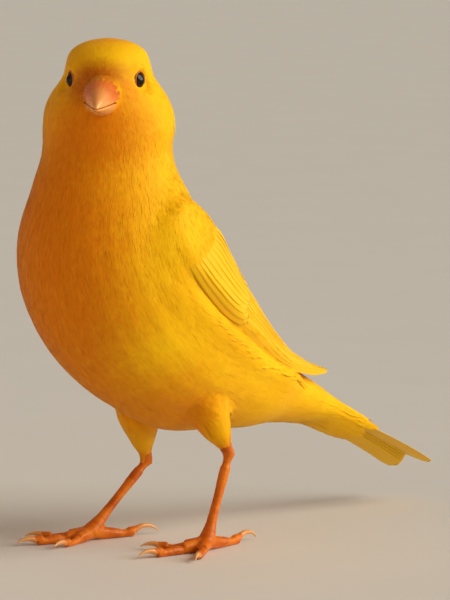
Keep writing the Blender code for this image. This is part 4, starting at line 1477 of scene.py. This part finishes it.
def ruff_rows(coat, count, random):
    """Rows of the little feathers that lean forwards over the bill's root, and their lengths."""
    lines = []
    for angle, extra in even_pairs(count):
        angle *= 360
        start = ruff_start(coat, angle) - RUFF_SETBACK + RUFF_STAGGER * extra
        top = max(0.0, math.sin(math.radians(angle)))
        reach = RUFF_LEAST + RUFF_MORE_ON_TOP * top + RUFF_MORE * random.beta(*RUFF_CHANCE)
        swing = random.normal(0, RUFF_SWING)
        lines.append(
            [
                tuple(bill_point(start + reach * row, angle + swing * row, rise))
                for row, rise in zip(FEATHER.rows, RUFF_RISES)
            ]
        )
    points = np.array(lines)
    headings = unit(np.gradient(points, axis=1))
    forward = np.array(HEAD_FORWARD)
    away = points - np.array(head_point(*BILL_ROOT))
    outward = unit(away - (away @ forward)[..., None] * forward + RUFF_FORWARD * forward)
    lengths = np.linalg.norm(np.diff(points, axis=1), axis=2).sum(1)
    return [(points[:, k], outward[:, k], headings[:, k]) for k in range(len(FEATHER.rows))], lengths


class CANARY_OT_coat(bpy.types.Operator):
    """Grows the body's feathers and the fine wisps over them"""

    bl_idname = "canary.coat"
    bl_label = "Coat"

    def execute(self, context):
        settings = context.scene.canary_coat
        random = np.random.default_rng(SEED)
        skin = surface_of(bpy.data.objects["skin"].data)
        coat = Coat(skin, surface_of(bpy.data.objects["tail_vanes"].data))
        places, normals, sizes = roots_for(coat, settings.trials, random)
        chosen = spaced_out(places, sizes[:, 2])
        self.add_layer(coat, "feathers", FEATHER, places[chosen], normals[chosen], sizes[chosen], random)
        density = 1 / sizes[:, 2] ** 2
        chosen = random.choice(len(places), settings.wisps, replace=False, p=density / density.sum())
        sizes[:, 0] *= settings.wisp_length
        sizes[:, 1] = settings.wisp_width / MM
        self.add_layer(coat, "wisps", WISP, places[chosen], normals[chosen], sizes[chosen], random)
        self.add_ruff(*ruff_rows(coat, settings.ruff, random), settings.ruff_width / MM, random)
        return {"FINISHED"}

    def add_ruff(self, grown, lengths, width, random):
        """Makes the piece of feathers over the bill's root from their rows."""
        count = len(lengths)
        widths = width * random.uniform(*SIZE_SPREAD, count)
        flat = np.zeros(count)
        made = feather_points(grown, lengths, widths, flat, flat, FEATHER)
        roots = grown[0][0]
        patches = bake_patches(roots, SPINE_PLACES[nearest_spine(roots)], made[3])
        plumage_piece("ruff_at_bill", FEATHER, *made, random.beta(*TONE_SPREAD, count), patches)

    def add_layer(self, coat, layer, shape, roots, normals, sizes, random):
        """Grows one layer and makes a piece of it for each zone."""
        length, width, _, depth, leg, spine = sizes.T
        count = len(roots)
        length = length * random.uniform(*SIZE_SPREAD, count)
        width = width * random.uniform(*SIZE_SPREAD, count)
        ways = turned(coat.lie(roots, normals), normals, random.normal(0, LIE_WANDER, count))
        clear = ~coat.near_eye(roots + ways * length[:, None])
        lifts = random.uniform(*TIP_LIFT, count)
        tones = random.beta(*TONE_SPREAD, count)
        stiffness = np.where(leg != 0, THIGH_STIFFNESS, 0.0)
        grown = grow(coat, roots, normals, ways, length, shape.rows, stiffness)
        made = feather_points(grown, length, width, depth, lifts, shape)
        patches = bake_patches(roots, spine, made[3])
        for name, mask in zone_masks(roots, spine, leg).items():
            values = [part[mask & clear] for part in (*made, tones, patches)]
            plumage_piece(f"{layer}_{name}", shape, *values)


# Wings and tail


def loft_mesh(name, rings):
    """A closed mesh through rings of like count, capped at both ends."""
    ring, points = len(rings[0]), np.array([tuple(point) for ring in rings for point in ring])
    faces = []
    for n in range(len(rings) - 1):
        for k in range(ring):
            a, b = n * ring + k, n * ring + (k + 1) % ring
            faces.append((a, b, b + ring, a + ring))
    last = (len(rings) - 1) * ring
    faces += [tuple(range(ring - 1, -1, -1)), tuple(range(last, last + ring))]
    mesh = mesh_from(name, points, faces)
    face_outwards(mesh)
    return mesh


def tail_envelope(body_map):
    """The surface over the folded tail, on which its coverts lie."""
    rings = []
    for n in range(ENVELOPE_STEPS):
        spine = ENVELOPE_START - n * ENVELOPE_STEP
        sink = ENVELOPE_SINK + TAIL_THINNING * float(ramp(THINNING_FROM - spine, 0, THINNING_LENGTH))
        rings.append(body_ring(spine, ENVELOPE_SIDES, -sink))
    mesh = loft_mesh("tail_envelope", rings)
    points, normals = points_of(mesh), normals_of(mesh)
    set_points(mesh, points + normals * swelling(body_map, points)[:, None])
    surface = surface_of(mesh)
    bpy.data.meshes.remove(mesh)
    return surface


def wing_rows():
    """The folded wing's rows of sizes at even shares of its length."""
    shares = np.linspace(0, 1, WING_STEPS)
    stations = [smooth_between(WING, share * (len(WING) - 1)) for share in shares]
    return shares, WingStation(*np.array(stations).T)


WING_SHARES, WING_ROWS = wing_rows()


def wing_sizes(share):
    """The wing's sizes at a share of its length, with the radius on which it lies."""
    sizes = WingStation(*(np.interp(share, WING_SHARES, values) for values in WING_ROWS))
    width = np.interp(sizes.spine, np.arange(len(SPINE)), [section.width for section in SPINE])
    return sizes, width + sizes.clear


def wing_top(share, above_low, below_high):
    """How far a wing's top stands off the body, by the mm above its lower edge and below its upper edge."""
    sizes, _ = wing_sizes(np.maximum(share, WING_LEAST_SHARE))
    free = ramp(share, *WING_FREE)
    soft = WING_SOFT - WING_SOFT_LOSS * ramp(share, *WING_SOFT_SHARES)
    low = ramp(above_low, -soft, WING_LOW_RISE)
    high = ramp(below_high, -WING_HIGH_RISE, WING_HIGH_RISE)
    sides = (low + (1 - low) * free) * (high + (1 - high) * free)
    return (sizes.clear + sizes.thick) * sides * ramp(share, *WING_START)


def wing_point(side, share, height, aside, rise):
    """A point on the wing by shares of its length and height, moved aside to its upper edge and raised."""
    sizes, radius = wing_sizes(share)
    reach = math.radians(sizes.high - sizes.low) * radius
    above_low = reach * height + aside
    below_high = reach * (1 - height) - aside
    angle = sizes.low + math.degrees(above_low / radius)
    point = body_point(sizes.spine, angle, wing_top(share, above_low, below_high) + rise)
    point.x *= side
    return point


class BodyMap:
    """Reads where places are along and round the body, measured by the folded wing."""

    def __init__(self):
        spines, angles = np.arange(*MAP_SPINE), np.arange(*MAP_ANGLE)
        self.tree = KDTree(2 * len(spines) * len(angles))
        self.samples = []
        for side in (1, -1):
            for spine in spines:
                for angle in angles:
                    point = body_point(spine, angle)
                    self.tree.insert((side * point.x, point.y, point.z), len(self.samples))
                    self.samples.append((spine, angle))
        self.tree.balance()
        self.samples = np.array(self.samples)

    def read(self, points):
        """Each place's share of the wing's length, and its mm above the lower and below the upper edge."""
        spine, angle = np.empty((2, len(points)))
        for row, place in enumerate(points.tolist()):
            hits = self.tree.find_n(place, MAP_NEIGHBOURS)
            weights = np.array([1 / (hit[2] + MAP_NEAR) for hit in hits])
            spine[row], angle[row] = weights @ self.samples[[hit[1] for hit in hits]] / weights.sum()
        share = np.interp(-spine, -WING_ROWS.spine, WING_SHARES)
        share -= np.maximum(spine - WING_ROWS.spine[0], 0) / MAP_BEYOND_WING
        share += np.maximum(WING_ROWS.spine[-1] - spine, 0) / MAP_BEYOND_WING
        sizes, radius = wing_sizes(share)
        return share, np.radians(angle - sizes.low) * radius, np.radians(sizes.high - angle) * radius


def tail_point(spine, across, up):
    """A point over the tail, across in mm to the bird's left and up from its middle surface."""
    s = Section(*smooth_between(SPINE, spine))
    lean = math.radians(s.lean)
    depth = up - across * across / (2 * TAIL_ARCH_RADIUS)
    across, depth = Matrix.Rotation(math.radians(s.roll), 2) @ Vector((across, depth))
    return Vector((across, s.y + depth * math.sin(lean), s.z + depth * math.cos(lean)))


def vane_width(share, point):
    """How wide a vane is at a share of its length, against its widest place. It narrows to a rounded tip."""
    root = VANE_ROOT_WIDTH + (1 - VANE_ROOT_WIDTH) * ramp(share, 0, VANE_ROOT_LENGTH)
    end = max(0.0, (share - VANE_TIP_FROM) / (1 - VANE_TIP_FROM))
    blunt = 1 - point * point * (1 - end**8)
    return float(root * math.sqrt(max(0.0, 1 - end**2.6 * blunt)))


def flight_vane(length, half, quill, point, place, tone):
    """The grids of one closed vane: its points, its map, and how far along and how near its edge they are.

    place gives the point at a share of the length, aside in mm and raised in mm.
    """
    tops, unders, maps, shares, edges = [], [], [], [], []
    for row in range(VANE_ROWS):
        share = 1 - (1 - row / (VANE_ROWS - 1)) ** VANE_CROWDING
        wide = half * vane_width(share, point)
        for column in range(VANE_COLUMNS):
            across = -1 + 2 * column / (VANE_COLUMNS - 1)
            across = math.copysign(abs(across) ** VANE_EDGE_CROWDING, across)
            ridge = math.exp(-(((across - quill) / QUILL_WIDTH) ** 2))
            thick = VANE_THICK * (1 - (1 - VANE_EDGE_THICKNESS) * across * across)
            thick *= 1 - VANE_THINNING * share
            up = QUILL_RISE * ridge * (1 - QUILL_THINNING * share)
            phase = RIPPLE_ALONG * share + RIPPLE_ACROSS * across + RIPPLE_APART * tone
            ripple = RIPPLE * math.sin(phase)
            tops.append(place(share, wide * across, up + ripple))
            unders.append(place(share, wide * across, ripple - thick))
            maps.append((wide * (across - quill), length * share))
            shares.append(share)
            edges.append(abs(across))
    return tops + unders, maps * 2, shares * 2, edges * 2


def vane_faces():
    """The faces of one closed vane with its upper grid first, in triangles alike on both faces."""
    rows, columns = VANE_ROWS, VANE_COLUMNS
    size = rows * columns
    faces = []
    for row in range(rows - 1):
        for column in range(columns - 1):
            a = row * columns + column
            b, c, d = a + columns, a + columns + 1, a + 1
            faces += [(a, b, c), (a, c, d)]
            faces += [(size + a, size + c, size + b), (size + a, size + d, size + c)]
    rim = [row * columns for row in range(rows)]
    rim += [(rows - 1) * columns + column for column in range(1, columns)]
    rim += [row * columns + columns - 1 for row in range(rows - 2, -1, -1)]
    rim += list(range(columns - 2, 0, -1))
    for a, b in zip(rim, rim[1:] + rim[:1]):
        faces += [(a, size + a, size + b), (a, size + b, b)]
    return faces


def vane_piece(name, vanes, *nodes):
    """One piece from many vanes, each given as its points, map, shares, edges and tone."""
    base = vane_faces()
    points, faces, maps, shares, edges, tones = [], [], [], [], [], []
    for vane_points, vane_map, vane_shares, vane_edges, tone in vanes:
        start = len(points)
        points += [tuple(point) for point in vane_points]
        faces += [tuple(start + corner for corner in face) for face in base]
        maps += vane_map
        shares += vane_shares
        edges += vane_edges
        tones += [tone] * len(vane_points)
    mesh = mesh_from(name, np.array(points), faces)
    set_uv(mesh, "Plume", np.array(maps))
    for key, values in (("share", shares), ("edge", edges), ("tone", tones)):
        set_value(mesh, key, np.array(values))
    face_outwards(mesh)
    mesh.shade_smooth()
    piece = new_piece(name, mesh)
    finish_piece(piece, bpy.data.materials["flight_vanes"], "flight_feathers", *nodes)


def wing_vane(side, tier, k, random):
    """One feather of a tier, laid over the wing."""
    q = k / (tier.count - 1)
    root = [a + (b - a) * q for a, b in zip(tier.root_first, tier.root_last)]
    tip = [a + (b - a) * q for a, b in zip(tier.tip_first, tier.tip_last)]
    tip[0] += tier.reach * math.sin(math.pi * q**tier.skew) + random.uniform(-TIP_WANDER, TIP_WANDER)
    length = (wing_point(side, *tip, 0, 0) - wing_point(side, *root, 0, 0)).length

    def place(share, aside, up):
        along, height = (a + (b - a) * share for a, b in zip(root, tip))
        lift = tier.lift + VANE_STACK * k / tier.count - VANE_TILT * aside / tier.half
        lift *= min(1, share / VANE_SINK_TO)
        return wing_point(side, along, height, aside, lift + up + VANE_CLEAR - WING_GROUND)

    tone = random.random()
    return *flight_vane(length, tier.half, tier.quill, tier.point, place, tone), tone


class CANARY_OT_wings(bpy.types.Operator):
    """Lays the folded wings' feathers in tiers"""

    bl_idname = "canary.wings"
    bl_label = "Wings"

    def execute(self, context):
        for name, side in (("left", 1), ("right", -1)):
            random = np.random.default_rng(SEED + side + 1)
            vanes = [wing_vane(side, tier, k, random) for tier in WING_TIERS for k in range(tier.count)]
            vane_piece(f"wing_{name}_vanes", vanes, f"wing_{name}")
        return {"FINISHED"}


class CANARY_OT_tail(bpy.types.Operator):
    """Lays the twelve feathers of the forked tail"""

    bl_idname = "canary.tail"
    bl_label = "Tail"

    def execute(self, context):
        random = np.random.default_rng(SEED)
        vanes = [tail_vane(side, k, random) for side in (1, -1) for k in range(TAIL_FEATHERS)]
        vane_piece("tail_vanes", vanes, "tail")
        return {"FINISHED"}


def tail_vane(side, k, random):
    """One tail feather, k counted from the middle outwards."""
    outward = k / (TAIL_FEATHERS - 1)
    start, end = TAIL_ROOT, TAIL_FORK * (1 - outward)
    length = (tail_point(start, 0, 0) - tail_point(end, 0, 0)).length

    def place(share, aside, up):
        spread = TAIL_ROOT_SPREAD + (TAIL_TIP_SPREAD - TAIL_ROOT_SPREAD) * share
        level = TAIL_STEP_DOWN * (TAIL_FEATHERS / 2 - k) - TAIL_EDGE_DROP * aside / TAIL_HALF_WIDTH
        level += TAIL_LEFT_OVER_RIGHT * side + up
        middle = side * (k + 0.5) * spread
        return tail_point(start + (end - start) * share, middle + side * aside, level)

    tone = random.random()
    quill = TAIL_QUILL if k else 0.0
    return *flight_vane(length, TAIL_HALF_WIDTH, quill, TAIL_POINT, place, tone), tone


# Eyes and bill


def eye_way(side):
    """The way an eye looks, side being 1 for the left and -1 for the right."""
    turn = math.radians(EYE_TURN)
    return HEAD_LEFT * side * math.cos(turn) + HEAD_FORWARD * math.sin(turn)


def clear_maps(mesh):
    """Takes a mesh's maps away."""
    for layer in list(mesh.uv_layers):
        mesh.uv_layers.remove(layer)


def stand_at(obj, centre, way):
    """Puts an object that was made at the origin, facing up, at its place in its mesh."""
    turn = way.to_track_quat("Z", "Y").to_matrix().to_4x4()
    obj.data.transform(Matrix.Translation(centre) @ turn)


class CANARY_OT_eyes(bpy.types.Operator):
    """Makes the eyes, with a bulging cornea, and the lids round them"""

    bl_idname = "canary.eyes"
    bl_label = "Eyes"

    def execute(self, context):
        for name, side, centre in (("left", 1, EYE_LEFT), ("right", -1, EYE_RIGHT)):
            deselect()
            bpy.ops.mesh.primitive_uv_sphere_add(segments=64, ring_count=40, radius=EYE_RADIUS * MM)
            eye = bpy.context.object
            eye.name = f"eyeball_{name}"
            places = np.array([tuple(vertex.co) for vertex in eye.data.vertices]) / MM
            clear_maps(eye.data)
            set_uv(eye.data, "Gaze", places[:, :2])
            for vertex in eye.data.vertices:
                aside = math.hypot(vertex.co.x, vertex.co.y) / MM
                if vertex.co.z > 0:
                    vertex.co.z += CORNEA_RISE * MM * math.exp(-((aside / CORNEA_REACH) ** 2))
            eye.data.shade_smooth()
            stand_at(eye, centre, eye_way(side))
            finish_piece(eye, bpy.data.materials["eye_wet"], "eye", f"eye_{name}")
            self.add_lid(name, side, centre)
        return {"FINISHED"}

    def add_lid(self, name, side, centre):
        """The thin bare rim of the lids, wrinkled across."""
        depth = math.sqrt(EYE_RADIUS**2 - LID_OPENING**2)
        middle, thick = (LID_OPENING + LID_MIDDLE) * MM, LID_THICKNESS * MM
        deselect()
        bpy.ops.mesh.primitive_torus_add(
            major_segments=96, minor_segments=16, major_radius=middle, minor_radius=thick
        )
        lid = bpy.context.object
        lid.name = f"lids_{name}"
        for vertex in lid.data.vertices:
            around = math.atan2(vertex.co.y, vertex.co.x)
            aside = math.hypot(vertex.co.x, vertex.co.y) / MM
            fold = 1 + LID_FOLD_DEPTH * math.sin(around * LID_FOLDS) * (aside - LID_OPENING)
            slope = -(aside - LID_OPENING) * LID_SLOPE
            vertex.co.x *= fold
            vertex.co.y *= fold
            vertex.co.z = vertex.co.z * LID_FLATTENING + slope * MM
        clear_maps(lid.data)
        angles = np.array([math.atan2(vertex.co.y, vertex.co.x) for vertex in lid.data.vertices])
        round_lid = angles * LID_OPENING * LID_SCALES
        set_uv(lid.data, "Limb", np.stack([np.zeros_like(angles), round_lid], 1))
        lid.data.shade_smooth()
        stand_at(lid, centre + eye_way(side) * (depth + LID_LIFT) * MM, eye_way(side))
        finish_piece(lid, bpy.data.materials["lid_skin"], "leg_skin")


class CANARY_OT_bill(bpy.types.Operator):
    """Smooths both halves of the bill into polished horn"""

    bl_idname = "canary.bill"
    bl_label = "Bill"

    def execute(self, context):
        for half in ("bill_upper", "bill_lower"):
            piece = merged_copy(f"{half}_horn", [half], grow=BILL_GROWTH)
            remesh(piece, BILL_VOXEL, BILL_SMOOTHING)
            finish_piece(piece, bpy.data.materials["bill_horn"], "bill", half)
        return {"FINISHED"}


# Legs and claws


def limb_map(points, lines):
    """Distance along and round the nearest of some lines, in mm, for each point."""
    best = np.full(len(points), np.inf)
    along, around = np.zeros(len(points)), np.zeros(len(points))
    for start, end, offset in lines:
        start, end = np.array(start, float), np.array(end, float)
        way = (end - start) / np.linalg.norm(end - start)
        share = np.clip((points - start) @ way, 0, np.linalg.norm(end - start))
        away = points - start - share[:, None] * way
        distance = np.linalg.norm(away, axis=1)
        aside = np.cross(way, (0, 0, 1.0) if abs(way[2]) < STEEP else (0, 1.0, 0))
        angle = np.arctan2(away @ np.cross(way, aside), away @ aside)
        near = distance < best
        best[near], along[near], around[near] = distance[near], share[near] + offset, angle[near]
    return along, around


def heading_way(heading):
    """The level way of a heading, in degrees from straight ahead, to the left."""
    turn = math.radians(heading)
    return Vector((math.sin(turn), -math.cos(turn), 0))


def cone_along(place, way, cone):
    """The ends and radii of a cone laid along a way from a place."""
    return place + way * cone.start, place + way * cone.end, cone.start_radius, cone.end_radius


def joint_cones(name, leg):
    """Cones that fill out the heel, the root of the toes and the ends of the toes over the claws."""
    knee, heel, knuckle = (Vector(place) for place in leg[:3])
    up_thigh, up_shank = (knee - heel).normalized(), (heel - knuckle).normalized()
    cones = [
        cone_along(heel, up_shank, CONE_UNDER_HEEL),
        cone_along(heel, up_thigh, CONE_OVER_HEEL),
        cone_along(knuckle, up_shank, CONE_OVER_KNUCKLE),
    ]
    root = Vector((knuckle.x, knuckle.y, TOE_ROOT_HEIGHT))
    for digit, (heading, length) in enumerate(zip(leg.toes, TOE_LENGTHS), 1):
        along = heading_way(heading)
        cones.append((root, root + along * length * 0.5 - Vector((0, 0, TOE_FALL)), *TOE_RADII))
        claw = solids_surface(f"claw_{name}_{digit}").points
        reach = claw[:, :2] @ np.array(along)[:2]
        reach = (reach - reach.min()) / (reach.max() - reach.min())
        base, bend = (Vector(claw[(reach > low) & (reach < high)].mean(0)) for low, high in CLAW_ROOT)
        cones.append(cone_along(base, (bend - base).normalized(), CONE_OVER_CLAW))
    return cones


def limb_lines(leg):
    """The lines of the shank and the toes, each with where its map starts."""
    start = Vector((leg.knuckle[0], leg.knuckle[1], TOE_HEIGHT))
    toes = [
        (start, start + heading_way(heading) * length, TOE_MAP_START)
        for heading, length in zip(leg.toes, TOE_LENGTHS)
    ]
    return [(leg.heel, leg.knuckle, 0), *toes]


def scaled_limb(points, normals, leg):
    """The limb's points with its heel narrowed and its scutes raised, and its map round and along it."""
    along, around = limb_map(points, limb_lines(leg))
    shank = along < TOE_MAP_START
    heel = np.array(leg.heel)
    way = np.array((Vector(leg.knuckle) - Vector(leg.heel)).normalized())
    below = (points - heel) @ way
    middle = heel + below[:, None] * way
    narrow = HEEL_NARROWING * band(below, HEEL_START, (0, HEEL_REACH)) * shank
    points = points - (points - middle) * narrow[:, None]
    pitch = np.where(shank, SHANK_SCUTE, TOE_SCUTE)
    share = np.abs((along / pitch) % 1 - 0.5) * 2
    upper = ramp(normals[:, 2] + SHANK_SCUTES_ROUND * shank, *SCUTES_FACE_UP)
    swell = SCUTE_RISE * (1 - share**4) * upper * (points[:, 2] > SOLE_HEIGHT)
    slim = np.where(shank, SHANK_SLIM * ramp(points[:, 2], *SHANK_SLIM_HEIGHTS), 0.0)
    points = points + normals * (swell - slim - LEG_SINK)[:, None]
    points[:, 2] = np.maximum(points[:, 2], -ORIGIN.z / MM)
    return points, np.stack([around, along * TOE_SCUTE / pitch], 1)


class CANARY_OT_legs(bpy.types.Operator):
    """Makes each shank and foot one scaled limb"""

    bl_idname = "canary.legs"
    bl_label = "Legs"

    def execute(self, context):
        for name, leg in LEGS.items():
            nodes = [f"shank_{name}", f"foot_{name}"]
            piece = merged_copy(f"leg_{name}", nodes, grow=LEG_GROWTH)
            joints = [limb_cone(*cone) for cone in joint_cones(name, leg)]
            join(piece, joints)
            remesh(piece, LEG_VOXEL, LEG_SMOOTHING)
            points, limb_places = scaled_limb(points_of(piece.data), normals_of(piece.data), leg)
            set_points(piece.data, points)
            set_uv(piece.data, "Limb", limb_places)
            finish_piece(piece, bpy.data.materials["leg_leather"], "leg_skin", *nodes)
        return {"FINISHED"}


def limb_cone(start, end, start_radius, end_radius):
    """A rounded cone between two places in the drawing, to be joined into a limb."""
    start, end = Vector(start), Vector(end)
    length = (end - start).length
    deselect()
    bpy.ops.mesh.primitive_cone_add(
        vertices=24,
        radius1=start_radius * MM,
        radius2=end_radius * MM,
        depth=length * MM,
        end_fill_type="TRIFAN",
    )
    cone = bpy.context.object
    stand_at(cone, placed((start + end) / 2), (end - start).normalized())
    return cone


class CANARY_OT_claws(bpy.types.Operator):
    """Smooths the claws into curved horn"""

    bl_idname = "canary.claws"
    bl_label = "Claws"

    def execute(self, context):
        for name, leg in LEGS.items():
            for digit, heading in enumerate(leg.toes, 1):
                node = f"claw_{name}_{digit}"
                piece = merged_copy(f"horn_{name}_{digit}", [node])
                remesh(piece, CLAW_VOXEL, CLAW_SMOOTHING)
                reach = points_of(piece.data) @ np.array(heading_way(heading))
                set_value(piece.data, "share", (reach - reach.min()) / (reach.max() - reach.min()))
                finish_piece(piece, bpy.data.materials["claw_horn"], "claw", node)
        return {"FINISHED"}


# The stage and the add-on


def camera_ways(elevation=0.0):
    """The way to the camera's right, and the way towards it at an elevation in degrees."""
    azimuth, rise = math.radians(CAMERA_AZIMUTH), math.radians(elevation)
    right = Vector((math.cos(azimuth), math.sin(azimuth), 0))
    level = Vector((math.sin(azimuth), -math.cos(azimuth), 0))
    return right, level * math.cos(rise) + Vector((0, 0, math.sin(rise)))


class CANARY_OT_stage(bpy.types.Operator):
    """Sets the pale floor, the soft lights and the camera"""

    bl_idname = "canary.stage"
    bl_label = "Stage"

    def execute(self, context):
        settings = context.scene.canary_stage
        floor = self.add_floor(settings.floor)
        target = self.add_camera(context)
        self.add_light("key", "SUN", target, KEY, settings.key).angle = math.radians(KEY.size)
        self.add_light("fill", "AREA", target, FILL, settings.fill).size = FILL.size
        self.add_light("glint", "AREA", target, GLINT, settings.glint).size = GLINT.size
        world = bpy.data.worlds.new("studio")
        context.scene.world = world
        world.use_nodes = True
        background = world.node_tree.nodes["Background"].inputs
        background["Color"].default_value = WORLD_COLOUR
        background["Strength"].default_value = settings.world
        context.scene.view_settings.view_transform = "Standard"
        return {"FINISHED"}

    def add_floor(self, half):
        """A round floor whose far rim curves up a little."""
        deselect()
        bpy.ops.mesh.primitive_circle_add(vertices=96, radius=half, fill_type="NGON")
        floor = bpy.context.object
        floor.name = "floor"
        bpy.ops.object.mode_set(mode="EDIT")
        bpy.ops.mesh.select_all(action="SELECT")
        for rise in RIM_RISES:
            bpy.ops.mesh.extrude_region_move(TRANSFORM_OT_translate={"value": (0, 0, rise * half / 10)})
            bpy.ops.transform.resize(value=(RIM_WIDENING, RIM_WIDENING, 1))
        bpy.ops.mesh.delete(type="ONLY_FACE")
        bpy.ops.object.mode_set(mode="OBJECT")
        floor.data.shade_smooth()
        floor.data.materials.append(bpy.data.materials["pale_floor"])
        return floor

    def add_camera(self, context):
        """Stands the camera where the photo was taken from, and finds the place that it looks at."""
        right, towards = camera_ways(CAMERA_ELEVATION)
        up = towards.cross(right)
        aside = (PICTURE[0] / 2 - DRAWING_PIXEL[0]) / PIXELS_PER_MM
        rise = (DRAWING_PIXEL[1] - PICTURE[1] / 2) / PIXELS_PER_MM
        target = placed(right * aside + up * rise)
        bpy.ops.object.camera_add(location=target + towards * CAMERA_DISTANCE * MM)
        camera = bpy.context.object
        camera.rotation_mode = "QUATERNION"
        camera.rotation_quaternion = (-towards).to_track_quat("-Z", "Y")
        camera.data.sensor_width = SENSOR
        camera.data.lens = SENSOR * PIXELS_PER_MM * CAMERA_DISTANCE / max(PICTURE)
        camera.data.clip_start = 0.01
        camera.data.clip_end = 50
        context.scene.camera = camera
        return target

    def add_light(self, name, kind, target, lamp, power):
        """A light that is aimed at the target."""
        right, level = camera_ways()
        aim = (right * lamp.way[0] + level * lamp.way[1] + Vector((0, 0, lamp.way[2]))).normalized()
        bpy.ops.object.light_add(type=kind, location=target + aim * lamp.distance)
        light = bpy.context.object
        light.name = f"{name}_light"
        light.rotation_mode = "QUATERNION"
        light.rotation_quaternion = (-aim).to_track_quat("-Z", "Y")
        light.data.energy = power
        light.data.color = lamp.colour
        return light.data


class CANARY_PT_panel(bpy.types.Panel):
    """The canary's settings and the steps that make it"""

    bl_label = "Canary"
    bl_idname = "CANARY_PT_panel"
    bl_space_type = "VIEW_3D"
    bl_region_type = "UI"
    bl_category = "Canary"

    def draw(self, context):
        for name in SETTINGS:
            group = getattr(context.scene, name)
            box = self.layout.box()
            for key in group.__annotations__:
                box.prop(group, key)
        for operator in OPERATORS:
            self.layout.operator(operator.bl_idname)


OPERATORS = (
    CANARY_OT_materials,
    CANARY_OT_stage,
    CANARY_OT_skin,
    CANARY_OT_wings,
    CANARY_OT_tail,
    CANARY_OT_coat,
    CANARY_OT_eyes,
    CANARY_OT_bill,
    CANARY_OT_legs,
    CANARY_OT_claws,
)
SETTINGS = {"canary_markings": Markings, "canary_coat": CoatSettings, "canary_stage": StageSettings}
CLASSES = (*SETTINGS.values(), *OPERATORS, CANARY_PT_panel)


def register():
    for cls in CLASSES:
        bpy.utils.register_class(cls)
    for name, settings in SETTINGS.items():
        setattr(bpy.types.Scene, name, bpy.props.PointerProperty(type=settings))


def unregister():
    for name in SETTINGS:
        delattr(bpy.types.Scene, name)
    for cls in reversed(CLASSES):
        bpy.utils.unregister_class(cls)


def main():
    register()
    for operator in OPERATORS:
        step = operator.bl_idname.split(".")[1]
        getattr(bpy.ops.canary, step)()


if __name__ == "__main__":
    main()
